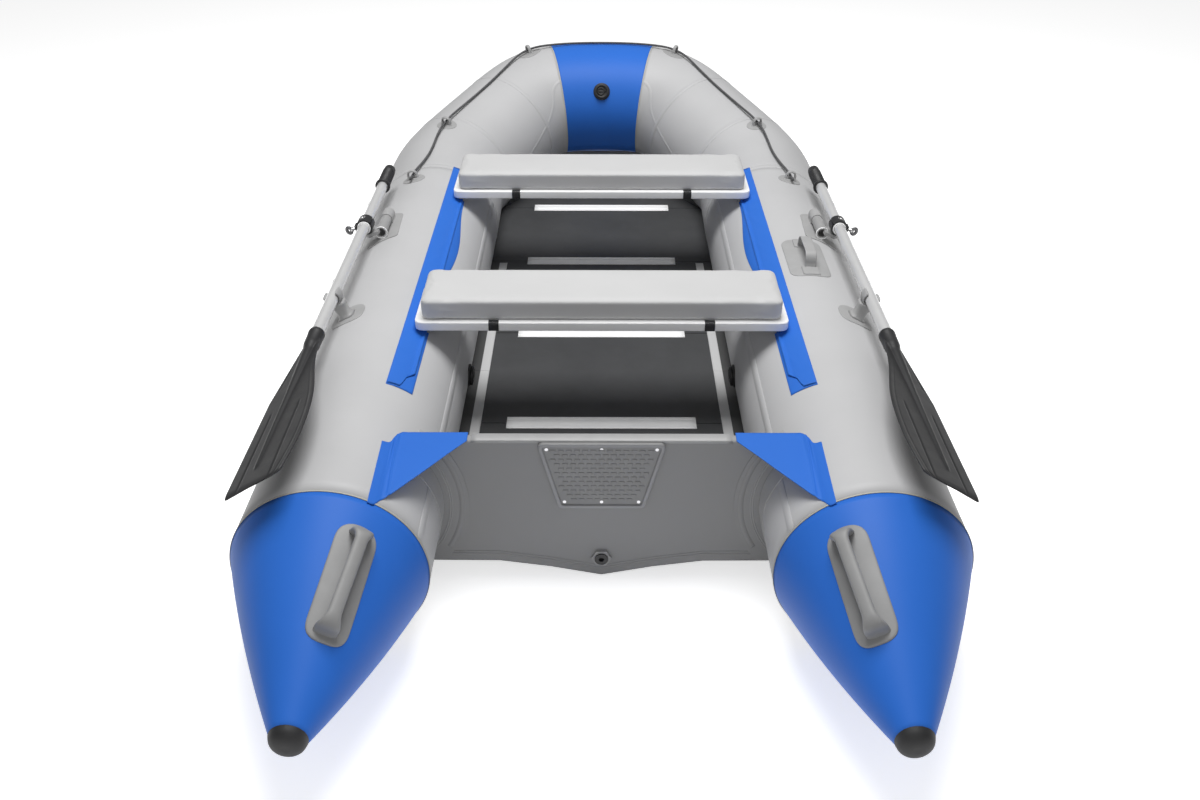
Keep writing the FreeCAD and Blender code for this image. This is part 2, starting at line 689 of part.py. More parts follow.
def pad_outline(inset, station):
    """Trapezium of the outer motor pad, smaller by an inset."""
    top = over_tubes(TRANSOM_TOP - PAD_DROP)
    lean = (PAD_TOP_HALF - PAD_BOTTOM_HALF) / PAD_HEIGHT
    shrink = inset * (math.hypot(1.0, lean))
    y = at_station(station)
    upper = PAD_TOP_HALF - shrink - lean * inset
    lower = PAD_BOTTOM_HALF - shrink + lean * inset
    return [Vector(-upper, y, top - inset), Vector(upper, y, top - inset),
            Vector(lower, y, top - PAD_HEIGHT + inset), Vector(-lower, y, top - PAD_HEIGHT + inset)]


def rounded_plate(points, thickness, corner):
    """Plate from a four-cornered outline, extruded forward, with round corners."""
    plate = prism(points, FORWARD * thickness)
    across = [e for e in plate.Edges if abs(e.tangentAt(e.FirstParameter).y) > 0.99]
    return plate.makeFillet(corner, across)


def screw_places():
    """Six screw places in the motor pad's pocket."""
    inset = PAD_RIM + 2.0 * SCREW_HEAD
    corners = pad_outline(inset, TRANSOM_STATION)
    top = (corners[0] + corners[1]) * 0.5
    bottom = (corners[2] + corners[3]) * 0.5
    return corners + [top, bottom]


def make_transom():
    """Transom board, collars, gussets, motor pads with screws, and the drain valve."""
    aft_y = at_station(TRANSOM_STATION)
    board = prism(transom_outline(TRANSOM_STATION), FORWARD * TRANSOM_THICKNESS)
    top_edges = [e for e in board.Edges
                 if abs(e.CenterOfMass.z - over_tubes(TRANSOM_TOP)) < 0.1
                 and abs(e.tangentAt(e.FirstParameter).x) > 0.99]
    board = board.makeFillet(TRANSOM_EDGE_ROUND, top_edges)
    board = board.cut(tube_pair(TUBE_RADIUS + GLUE_GAP, TRANSOM_STATION - COLLAR_WIDTH,
                                TRANSOM_FRONT + COLLAR_WIDTH))
    drain_z = over_tubes(DRAIN_HEIGHT)
    drain_start = Vector(0, aft_y - 1.0, drain_z)
    board = board.cut(cylinder(DRAIN_BODY_RADIUS + GLUE_GAP, TRANSOM_THICKNESS + 2.0,
                               drain_start))

    floor_y = aft_y - PAD_THICKNESS + PAD_POCKET
    pad = rounded_plate(pad_outline(0.0, TRANSOM_STATION - PAD_THICKNESS), PAD_THICKNESS,
                        PAD_ROUND)
    pocket = rounded_plate(pad_outline(PAD_RIM, TRANSOM_STATION - PAD_THICKNESS - 1.0),
                           PAD_POCKET + 1.0, PAD_ROUND - PAD_RIM * 0.5)
    pad = pad.cut(pocket)
    screws = []
    for place in screw_places():
        before = Vector(place.x, floor_y - 1.0, place.z)
        head_start = Vector(place.x, floor_y + SCREW_SUNK, place.z)
        head = cylinder(SCREW_HEAD, SCREW_HEAD_HEIGHT, head_start)
        shank = cylinder(SCREW_RADIUS, SCREW_LENGTH, head_start)
        hole = cylinder(SCREW_RADIUS + SCREW_CLEARANCE, SCREW_LENGTH + 2.0, before)
        recess = cylinder(SCREW_HEAD + SCREW_CLEARANCE, 1.0 + SCREW_SUNK + SCREW_HEAD_HEIGHT,
                          before)
        pad = pad.cut(hole).cut(recess)
        board = board.cut(hole)
        screws.append(fused([head, shank]))
    save("transom_board", board)
    save("motor_pad_outer", pad)
    save("motor_pad_screws", Part.makeCompound(screws))

    half = INNER_PAD_WIDTH / 2.0
    top = over_tubes(TRANSOM_TOP) - TRANSOM_EDGE_ROUND - 1.0
    front_y = at_station(TRANSOM_FRONT)
    inner_points = [Vector(-half, front_y, top), Vector(half, front_y, top),
                    Vector(half, front_y, top - INNER_PAD_HEIGHT),
                    Vector(-half, front_y, top - INNER_PAD_HEIGHT)]
    save("motor_pad_inner", rounded_plate(inner_points, INNER_PAD_THICKNESS, PAD_ROUND))

    make_collars()
    make_gussets()
    make_drain(aft_y, drain_z)


def make_collars():
    """Angle-shaped reinforcing collars in the four corners of transom and tubes."""
    collars = []
    start, end = -48.0, -SKIN_ANGLE + 3.0
    inner = TUBE_RADIUS + GLUE_GAP
    for face, step in ((TRANSOM_STATION - GLUE_GAP, -1.0), (TRANSOM_FRONT + GLUE_GAP, 1.0)):
        aft = min(face, face + step * COLLAR_THICKNESS)
        web = band(inner, TUBE_RADIUS + COLLAR_WIDTH, start, end, aft, aft + COLLAR_THICKNESS)
        inside = prism(transom_outline(aft - 1.0, 1.0), FORWARD * (COLLAR_THICKNESS + 2.0))
        flange_aft = min(face, face + step * COLLAR_WIDTH)
        if step > 0:
            flange_bow = face + COLLAR_WIDTH
        else:
            flange_bow = face
        flange = band(inner, inner + COLLAR_THICKNESS, start, end, flange_aft, flange_bow)
        collars.append(fused([web.common(inside), flange]))
    save("transom_collars", Part.makeCompound(collars + [mirrored(c) for c in collars]))


def make_gussets():
    """Fabric webs over the transom's upper corners, each with a strip glued to its tube."""
    base = TUBE_RADIUS + GLUE_GAP
    low = over_tubes(TRANSOM_TOP) + GLUE_GAP
    meet = math.acos((low - AXIS_HEIGHT) / base)
    tube_x = HALF_SPACING - base * math.sin(meet)
    inner_x = tube_x - GUSSET_REACH
    far_x = HALF_SPACING - 0.5 * base * math.sin(meet)
    front = at_station(TRANSOM_FRONT + GUSSET_OVERLAP)
    tip = at_station(TRANSOM_STATION - GUSSET_TIP)
    a = Vector(inner_x, front, low)
    b = Vector(far_x, front, low)
    c = Vector(far_x, tip, low)
    d = Vector(tube_x - 2.0 * GUSSET_THICKNESS, tip, low)
    e = Vector(inner_x, at_station(TRANSOM_STATION - GUSSET_OVERLAP), low)
    bend = Vector(tube_x - GUSSET_BEND, tip + 0.58 * GUSSET_TIP, low)
    outline = Part.Wire([line(a, b), line(b, c), line(c, d), arc(d, bend, e), line(e, a)])
    web = Part.Face(outline).extrude(UP * GUSSET_THICKNESS)
    web = web.cut(cylinder(base, front - tip + 2.0 * COLLAR_WIDTH,
                           axis_frame(-COLLAR_WIDTH)[0]))
    start = 0.2 - math.degrees(meet)
    strip = band(base, base + GUSSET_THICKNESS, start, start + GUSSET_STRIP,
                 TRANSOM_STATION - GUSSET_TIP, TRANSOM_FRONT + GUSSET_OVERLAP)
    save("transom_gussets", both(fused([web, strip])))


def make_drain(aft_y, height):
    """Drain valve through the transom: six-sided body with its nut, and a bayonet plug."""
    corner = DRAIN_ACROSS_FLATS / math.sqrt(3.0)
    start = Vector(0, aft_y - DRAIN_FLANGE, height)
    hexagon = [start + Vector(corner * math.cos(math.radians(60 * i)), 0,
                              corner * math.sin(math.radians(60 * i))) for i in range(6)]
    reach = DRAIN_FLANGE + TRANSOM_THICKNESS + DRAIN_NUT
    nut = cylinder(DRAIN_NUT_RADIUS, DRAIN_NUT, Vector(0, aft_y + TRANSOM_THICKNESS, height))
    body = fused([prism(hexagon, FORWARD * DRAIN_FLANGE),
                  cylinder(DRAIN_BODY_RADIUS, reach, start), nut])
    body = body.cut(cylinder(DRAIN_BORE, reach + 2.0, start - FORWARD))
    save("drain_valve_body", body)

    lip_radius = DRAIN_BORE + PLUG_LIP
    lip = cylinder(lip_radius, PLUG_LIP, start - FORWARD * (PLUG_LIP + GLUE_GAP))
    stem = cylinder(DRAIN_BORE - PLUG_CLEARANCE, PLUG_LIP + GLUE_GAP + reach - 6.0,
                    start - FORWARD * (PLUG_LIP + GLUE_GAP))
    socket = [start + Vector(7.0 * math.cos(math.radians(60 * i)), -PLUG_LIP - 1.0,
                             7.0 * math.sin(math.radians(60 * i))) for i in range(6)]
    plug = fused([lip, stem]).cut(prism(socket, FORWARD * 9.0))
    save("drain_plug", plug)


# ---------------------------------------------------------------- floor

def floor_half():
    """Half width of the floor panels: the gap between the tubes less the stringers."""
    drop = TUBE_RADIUS - (FLOOR_TOP + PROFILE_THICKNESS)
    tube_side = HALF_SPACING - math.sqrt(TUBE_RADIUS ** 2 - drop ** 2)
    return tube_side - STRINGER_TUBE_GAP - STRINGER_WALL


def make_floor():
    """Floor panels, the joint profiles between them and the side stringers."""
    half = floor_half()
    low = over_tubes(FLOOR_TOP - PANEL_THICKNESS)
    bow_tube = bow_solid(TUBE_RADIUS + STRINGER_TUBE_GAP)
    bow_tubes = Part.makeCompound([bow_tube, mirrored(bow_tube)])
    names = ("stern", "rear", "middle", "forward")
    edges = (PANEL_AFT,) + PANEL_JOINTS
    for i, name in enumerate(names):
        aft = edges[i] + (PANEL_GAP / 2.0 if i else 0.0)
        bow = edges[i + 1] - PANEL_GAP / 2.0
        panel = Part.makeBox(2 * half, bow - aft, PANEL_THICKNESS,
                             Vector(-half, at_station(aft), low))
        save(f"{name}_floor_panel", panel.cut(bow_tubes) if name == "forward" else panel)
    aft_y = at_station(PANEL_JOINTS[-1] + PANEL_GAP / 2.0)
    bow_y = at_station(PANEL_BOW_END)
    bow_half = 0.8 * half
    outline = [Vector(-half, aft_y, low), Vector(half, aft_y, low),
               Vector(bow_half, bow_y, low), Vector(-bow_half, bow_y, low)]
    save("bow_floor_panel", prism(outline, UP * PANEL_THICKNESS).cut(bow_tubes))

    top = over_tubes(FLOOR_TOP)
    profiles = []
    for joint in PANEL_JOINTS:
        y = at_station(joint)
        web = PANEL_GAP / 2.0 - GLUE_GAP
        section = [(-PROFILE_FLANGE / 2, top), (-PROFILE_FLANGE / 2, top + PROFILE_THICKNESS),
                   (PROFILE_FLANGE / 2, top + PROFILE_THICKNESS), (PROFILE_FLANGE / 2, top),
                   (web, top), (web, low), (-web, low), (-web, top)]
        points = [Vector(-PROFILE_HALF, y + a, b) for a, b in section]
        profiles.append(prism(points, OUT * (2 * PROFILE_HALF)))
    save("floor_joint_profiles", Part.makeCompound(profiles))

    outer = half + STRINGER_WALL
    inner = outer - STRINGER_FLANGE
    stringers = []
    for aft, bow in ((STRINGER_AFT, STRINGER_SPLICE - 1.0), (STRINGER_SPLICE, STRINGER_BOW)):
        y = at_station(aft)
        section = [(inner, top), (inner, top + PROFILE_THICKNESS),
                   (outer, top + PROFILE_THICKNESS), (outer, low - PROFILE_THICKNESS),
                   (inner, low - PROFILE_THICKNESS), (inner, low), (half, low), (half, top)]
        points = [Vector(a, y, b) for a, b in section]
        piece = prism(points, FORWARD * (bow - aft))
        stringers += [piece, mirrored(piece)]
    save("side_stringers", Part.makeCompound(stringers))


# ---------------------------------------------------------------- seats

def make_seats():
    """Seat rails on the tubes; boards, cushions and slides of both seats."""
    lower = band(TUBE_RADIUS + GLUE_GAP, RAIL_FLAP_RADIUS, RAIL_INNER_ANGLE, RAIL_OUTER_ANGLE,
                 RAIL_AFT, RAIL_BOW)
    upper = band(RAIL_FLAP_RADIUS, RAIL_TOP_RADIUS, RAIL_FLAP_ANGLE - 0.5, RAIL_OUTER_ANGLE,
                 RAIL_AFT, RAIL_BOW)
    bead_start = RAIL_BEAD_ANGLE - RAIL_BEAD_HALF
    bead_end = RAIL_BEAD_ANGLE + RAIL_BEAD_HALF
    lip = band(RAIL_TOP_RADIUS, BEAD_RADIUS, bead_start, bead_end, RAIL_AFT, RAIL_BOW)
    save("seat_rails", both(fused([lower, upper, lip])))

    board_low = over_tubes(SEAT_UNDERSIDE)
    board_top = board_low + SEAT_THICKNESS
    for name, station in (("rear", REAR_SEAT_STATION), ("front", FRONT_SEAT_STATION)):
        middle = FreeCAD.Placement(Vector(0, at_station(station), 0), FreeCAD.Rotation())
        board = rounded_prism(SEAT_LENGTH / 2, SEAT_DEPTH / 2, SEAT_CORNER, board_low, board_top)
        save(f"{name}_seat_board", placed(board, middle))

        cushion = rounded_prism(SEAT_LENGTH / 2 - CUSHION_MARGIN, CUSHION_DEPTH / 2,
                                CUSHION_CORNER, board_top + GLUE_GAP,
                                board_top + GLUE_GAP + CUSHION_HEIGHT)
        crown = [e for e in cushion.Edges
                 if e.CenterOfMass.z > board_top + GLUE_GAP + CUSHION_HEIGHT - 0.1]
        cushion = cushion.makeFillet(CUSHION_EDGE, crown)
        save(f"{name}_seat_cushion", placed(cushion, middle))

        aft = station - SLIDE_LENGTH / 2.0
        slide_low = over_tubes(BEAD_CREST - SLIDE_HOLD)
        block = Part.makeBox(SLIDE_INSIDE + SLIDE_OUTSIDE, SLIDE_LENGTH, board_low - slide_low,
                             Vector(BEAD_X - SLIDE_INSIDE, at_station(aft), slide_low))
        block = block.cut(cylinder(RAIL_TOP_RADIUS + SLIDE_CLEARANCE, SLIDE_LENGTH + 2.0,
                                   axis_frame(aft - 1.0)[0]))
        widen = math.degrees(SLIDE_CLEARANCE / RAIL_TOP_RADIUS)
        groove = band(TUBE_RADIUS, BEAD_RADIUS + SLIDE_CLEARANCE,
                      bead_start - widen, bead_end + widen, aft - 1.0, aft + SLIDE_LENGTH + 1.0)
        block = block.cut(groove)
        save(f"{name}_seat_slides", both(max(block.Solids, key=lambda s: s.Volume)))


# ---------------------------------------------------------------- strakes, handles, eyes

def make_strakes():
    """Rubbing strake along each side, from the cone seam to the middle of the bow."""
    def outline(frame):
        base = TUBE_RADIUS - STRAKE_SINK
        low, high = STRAKE_ANGLE - STRAKE_BASE_HALF, STRAKE_ANGLE + STRAKE_BASE_HALF
        in_low, in_high = STRAKE_ANGLE - STRAKE_TOP_HALF, STRAKE_ANGLE + STRAKE_TOP_HALF
        a, b, c = [on_tube(frame, base, t) for t in (low, STRAKE_ANGLE, high)]
        d, e, f = [on_tube(frame, STRAKE_RADIUS, t) for t in (in_high, STRAKE_ANGLE, in_low)]
        return Part.Wire([arc(a, b, c), line(c, d), arc(d, e, f), line(f, a)])

    straight = Part.Face(outline(axis_frame(0))).extrude(FORWARD * SIDE_TUBE_LENGTH)
    straight = straight.cut(side_solid(TUBE_RADIUS + GLUE_GAP))
    sections = BOW_SECTIONS + [(CURVE_START, t) for t in (0.925, 1.0)]
    curved = loft([outline(axis_frame(*s)) for s in sections])
    skin = fused([bow_solid(TUBE_RADIUS + GLUE_GAP), centre_solid(TUBE_RADIUS + GLUE_GAP)])
    curved = max(curved.cut(skin).Solids, key=lambda s: s.Volume)
    save("rubbing_strakes", both(fused([straight, curved])))


def handle_place():
    """Placement of the stern handle on the cone: Y along its side, Z away from it."""
    shift = CONE_TOE_IN * HANDLE_STATION / CONE_LENGTH
    centre = axis_frame(-HANDLE_STATION)[0] - OUT * shift
    turn = math.radians(HANDLE_ANGLE)
    radial = OUT * math.sin(turn) + UP * math.cos(turn)
    down = OUT * math.cos(turn) - UP * math.sin(turn)
    slope = math.atan((TUBE_RADIUS - CONE_TIP_RADIUS) / CONE_LENGTH)
    away = radial * math.cos(slope) - FORWARD * math.sin(slope)
    along = FORWARD * math.cos(slope) + radial * math.sin(slope)
    origin = centre + radial * cone_radius(HANDLE_STATION)
    return placement(origin, down, along, away)


def arch_wire(half, height, bend):
    """Path of a raised grip in the local YZ plane: up, along and down with round bends."""
    low = -14.0
    a, b = Vector(0, -half, low), Vector(0, -half, height - bend)
    c, d = Vector(0, -half + bend, height), Vector(0, half - bend, height)
    e, f = Vector(0, half, height - bend), Vector(0, half, low)
    cut = bend * (1.0 - math.sqrt(0.5))
    first = Vector(0, -half + cut, height - cut)
    second = Vector(0, half - cut, height - cut)
    return Part.Wire([line(a, b), arc(b, first, c), line(c, d), arc(d, second, e), line(e, f)])


def sweep(path, profile):
    """Solid swept along a smooth path."""
    return path.makePipeShell([profile], True, False)


def circle_wire(point, direction, radius):
    """Circle across a direction."""
    return Part.Wire([Part.Circle(point, direction, radius).toShape()])


def make_handles():
    """Moulded grip on each stern cone and the strap handle on the starboard tube."""
    place = handle_place()
    skin = cone_solid(GLUE_GAP + HANDLE_PATCH).cut(cone_solid(GLUE_GAP))
    block = rounded_prism(HANDLE_WIDTH / 2, HANDLE_LENGTH / 2, HANDLE_WIDTH * 0.36, -60.0, 60.0)
    patch = placed(block, place).common(skin)
    half = HANDLE_LENGTH / 2 - HANDLE_BAR - 16.0
    path = arch_wire(half, HANDLE_HEIGHT, HANDLE_BEND)
    start = Vector(0, -half, -14.0)
    bar = placed(sweep(path, circle_wire(start, UP, HANDLE_BAR)), place)
    bar = bar.cut(cone_solid(GLUE_GAP + HANDLE_PATCH / 2.0))
    save("stern_handles", both(fused([patch, bar])))

    frame = axis_frame(CARRY_STATION)
    place = surface_place(frame, CARRY_ANGLE)
    skin = side_solid(TUBE_RADIUS + GLUE_GAP + 2.0).cut(side_solid(TUBE_RADIUS + GLUE_GAP))
    block = rounded_prism(CARRY_WIDTH / 2, CARRY_LENGTH / 2, CARRY_WIDTH * 0.3, -40.0, 40.0)
    patch = placed(block, place).common(skin)
    outer = arch_face(CARRY_SPAN / 2, CARRY_HEIGHT, 26.0)
    inner = arch_face(CARRY_SPAN / 2 - CARRY_THICKNESS, CARRY_HEIGHT - CARRY_THICKNESS, 22.0)
    strap = outer.cut(inner).extrude(Vector(CARRY_STRAP, 0, 0))
    strap.translate(Vector(-CARRY_STRAP / 2, 0, 0))
    strap = placed(strap, place).cut(side_solid(TUBE_RADIUS + GLUE_GAP + 1.0))
    save("carry_handle", fused([patch, strap]))


def arch_face(half, height, bend):
    """Filled arch in the local YZ plane."""
    path = arch_wire(half, height, bend)
    ends = [v.Point for v in path.OrderedVertexes]
    return Part.Face(Part.Wire(path.Edges + [line(ends[-1], ends[0])]))


def make_eyes():
    """Eye patches with a ring each, for the bow line and the side lines."""
    eyes = []
    places = [(CURVE_START + station, turn, angle) for station, turn, angle in BOW_EYES]
    places += [(SIDE_TUBE_LENGTH + station, turn, angle) for station, turn, angle in SIDE_EYES]
    for station, turn, angle in places:
        frame = axis_frame(station, turn)
        place = surface_place(frame, angle)
        stock = side_solid if turn == 0.0 else bow_solid
        inside = stock(TUBE_RADIUS + GLUE_GAP)
        skin = stock(TUBE_RADIUS + GLUE_GAP + EYE_PATCH_THICKNESS).cut(inside)
        patch = placed(ellipse_prism(EYE_PATCH_LONG, EYE_PATCH_WIDE, -20.0, 20.0), place)
        patch = patch.common(skin)
        ring = Part.makeTorus(RING_RADIUS, RING_WIRE, Vector(0, 0, RING_HEIGHT), FORWARD)
        ring = placed(ring, place).cut(stock(TUBE_RADIUS + GLUE_GAP + 1.0))
        eyes.append(fused([patch, ring]))
    save("grab_line_eyes", Part.makeCompound(eyes + [mirrored(e) for e in eyes]))


# ---------------------------------------------------------------- ropes

def rope_points(route, start):
    """Row points of a rope route on the starboard side, its stations counted from a start."""
    return [on_tube(axis_frame(start + station, turn), TUBE_RADIUS + height, angle)
            for station, turn, angle, height in route]


def rope_path(name, points):
    """Runs joined by tangent arcs; each arc is as large as its two runs allow."""
    edges = []
    radii = []
    last = points[0]
    for before, corner, after in zip(points, points[1:], points[2:]):
        back = before - corner
        ahead = after - corner
        short = min(back.Length, ahead.Length)
        back.normalize()
        ahead.normalize()
        half_turn = (math.pi - back.getAngle(ahead)) / 2.0
        reach = 0.45 * short
        radii.append(reach / math.tan(half_turn))
        start = corner + back * reach
        end = corner + ahead * reach
        bisector = back + ahead
        bisector.normalize()
        sagitta = radii[-1] * (1.0 / math.cos(half_turn) - 1.0)
        edges.append(line(last, start))
        edges.append(arc(start, corner + bisector * sagitta, end))
        last = end
    edges.append(line(last, points[-1]))
    path = Part.Wire(edges)
    print(f"{name}: length {path.Length:.0f}, radii {[round(r) for r in radii]}")
    return path


def rope(name, points):
    """Rope solid along a route."""
    path = rope_path(name, points)
    direction = points[1] - points[0]
    direction.normalize()
    solid = sweep(path, circle_wire(points[0], direction, ROPE_RADIUS))
    expected = math.pi * ROPE_RADIUS ** 2 * path.Length
    print(f"{name}: volume is {solid.Volume / expected:.4f} of section times length")
    return solid


def make_ropes():
    """Grab line round the bow and one along each side."""
    starboard = rope_points(BOW_ROPE, CURVE_START)
    port = [Vector(-p.x, p.y, p.z) for p in reversed(starboard)]
    save("bow_grab_line", rope("bow_grab_line", starboard + port))
    side = rope_points(SIDE_ROPE, SIDE_TUBE_LENGTH)
    save("side_grab_lines", both(rope("side_grab_lines", side)))


# ---------------------------------------------------------------- rowing gear

def swing_place():
    """Placement at the oar's pivot: X outboard, Y forward, Z along the swing axis."""
    turn = math.radians(SWING_TILT)
    away = Vector(math.sin(turn), 0, math.cos(turn))
    side = Vector(math.cos(turn), 0, -math.sin(turn))
    return placement(pivot_point(), side, FORWARD, away)


def pivot_point():
    """Point on the oar's shaft where it is clamped."""
    return on_tube(axis_frame(PIVOT_STATION), OAR_AXIS_RADIUS, OAR_AXIS_ANGLE)


def shaft_point(station):
    """Point on the oar's axis."""
    return on_tube(axis_frame(station), OAR_AXIS_RADIUS, OAR_AXIS_ANGLE)


def barrel_point(station):
    """Point on the axis of the oarlock's barrel."""
    return on_tube(axis_frame(station), BARREL_AXIS_RADIUS, BARREL_ANGLE)


def make_oarlocks():
    """Oarlock base with its lug and pin, and the swivel with barrel, arm and eye."""
    lug_aft = BARREL_BOW + LUG_GAP
    frame = axis_frame(PIVOT_STATION)
    stock = side_solid(TUBE_RADIUS + GLUE_GAP)
    skin = side_solid(TUBE_RADIUS + GLUE_GAP + LOCK_PATCH).cut(stock)
    place = surface_place(frame, LOCK_PATCH_ANGLE)
    depth = 0.2 * TUBE_RADIUS
    block = prism([Vector(a, b, -depth) for a, b in LOCK_PATCH_OUTLINE], UP * (2.0 * depth))
    upright = [e for e in block.Edges if abs(e.tangentAt(e.FirstParameter).z) > 0.99]
    patch = placed(block.makeFillet(LOCK_PATCH_CORNER, upright), place).common(skin)
    lug = cylinder(LUG_RADIUS, LUG_BOW - lug_aft, barrel_point(lug_aft))
    foot = Part.makeBox(1.5 * LUG_RADIUS, LUG_BOW - lug_aft, 30.0,
                        Vector(-0.75 * LUG_RADIUS, lug_aft - PIVOT_STATION, -22.0))
    foot_place = surface_place(frame, BARREL_ANGLE)
    foot = placed(foot, foot_place)
    solid = fused([lug, foot]).cut(side_solid(TUBE_RADIUS + GLUE_GAP + LOCK_PATCH / 2))
    pin = cylinder(PIN_RADIUS, LUG_BOW - PIN_AFT, barrel_point(PIN_AFT))
    save("oarlock_bases", both(fused([patch, solid, pin])))

    barrel = cylinder(BARREL_RADIUS, BARREL_BOW - BARREL_AFT, barrel_point(BARREL_AFT))
    place = swing_place()
    to_barrel = place.inverse().multVec(barrel_point(PIVOT_STATION))
    arm = Part.makeBox(-to_barrel.x, ARM_BEHIND + ARM_AHEAD, EYE_THICKNESS,
                       Vector(to_barrel.x, -ARM_BEHIND, -EYE_TOP - EYE_THICKNESS))
    eye = cylinder(EYE_RADIUS, EYE_THICKNESS, Vector(0, 0, -EYE_TOP - EYE_THICKNESS), UP)
    bore = cylinder(PIVOT_RADIUS + PIN_CLEARANCE, EYE_THICKNESS + 2,
                    Vector(0, 0, -EYE_TOP - EYE_THICKNESS - 1), UP)
    plate = placed(fused([arm, eye]).cut(bore), place)
    swivel = fused([barrel, plate])
    swivel = swivel.cut(cylinder(PIN_RADIUS + PIN_CLEARANCE, BARREL_BOW - BARREL_AFT + 2,
                                 barrel_point(BARREL_AFT - 1)))
    save("starboard_oarlock_swivel", swivel)
    save("port_oarlock_swivel", mirrored(swivel))


def make_clamps():
    """Clamp halves round the shaft, with the pivot pin below, and the wing screw."""
    place = swing_place()
    half = CLAMP_LENGTH / 2.0
    bore_radius = OAR_RADIUS + CLAMP_GRIP_GAP
    shell = cylinder(CLAMP_RADIUS, CLAMP_LENGTH, Vector(0, -half, 0))
    bore = cylinder(bore_radius, CLAMP_LENGTH + 2, Vector(0, -half - 1, 0))
    pivot_low = -EYE_TOP - EYE_THICKNESS - PIVOT_PLAY
    pivot = cylinder(PIVOT_RADIUS, -pivot_low - bore_radius - 1.0, Vector(0, 0, pivot_low), UP)
    head = cylinder(PIVOT_HEAD, PIVOT_HEAD_HEIGHT,
                    Vector(0, 0, pivot_low - PIVOT_HEAD_HEIGHT), UP)
    lug = Part.makeBox(12, CLAMP_LENGTH * 0.7, 2 * 9.0,
                       Vector(CLAMP_RADIUS - 6.0, -CLAMP_LENGTH * 0.35, -9.0))
    body = fused([shell, lug]).cut(bore)
    slot = Part.makeBox(2 * CLAMP_RADIUS + 30, CLAMP_LENGTH + 2, 2 * CLAMP_SPLIT,
                        Vector(-CLAMP_RADIUS - 1, -half - 1, 5.0))
    body = body.cut(slot)
    shank_hole = cylinder(WING_SHANK + PIN_CLEARANCE, 60, Vector(0, 0, -2.0), OUT)
    upper, lower = sorted(body.Solids, key=lambda s: -s.CenterOfMass.z)[:2]
    lower = fused([lower, pivot, head]).cut(shank_hole)
    pair = Part.makeCompound([upper, lower])
    save("starboard_oarlock_clamp", placed(pair, place))
    save("port_oarlock_clamp", mirrored(placed(pair, place)))

    start = OAR_RADIUS + 2 * CLAMP_GRIP_GAP
    shank = cylinder(WING_SHANK, WING_REACH - start, Vector(start, 0, -2.0), OUT)
    wings = Part.makeBox(WING_DEPTH, WING_THICKNESS, WING_SPAN,
                         Vector(WING_REACH - 4.0, -WING_THICKNESS / 2, -2.0 - WING_SPAN / 2))
    corners = [e for e in wings.Edges if abs(e.tangentAt(e.FirstParameter).y) > 0.99]
    wings = wings.makeFillet(6.0, corners)
    hub = cylinder(WING_SHANK + 2.5, 9.0, Vector(WING_REACH - 9.0, 0, -2.0), OUT)
    screw = placed(fused([shank, hub, wings]), place)
    save("starboard_wing_screw", screw)
    save("port_wing_screw", mirrored(screw))


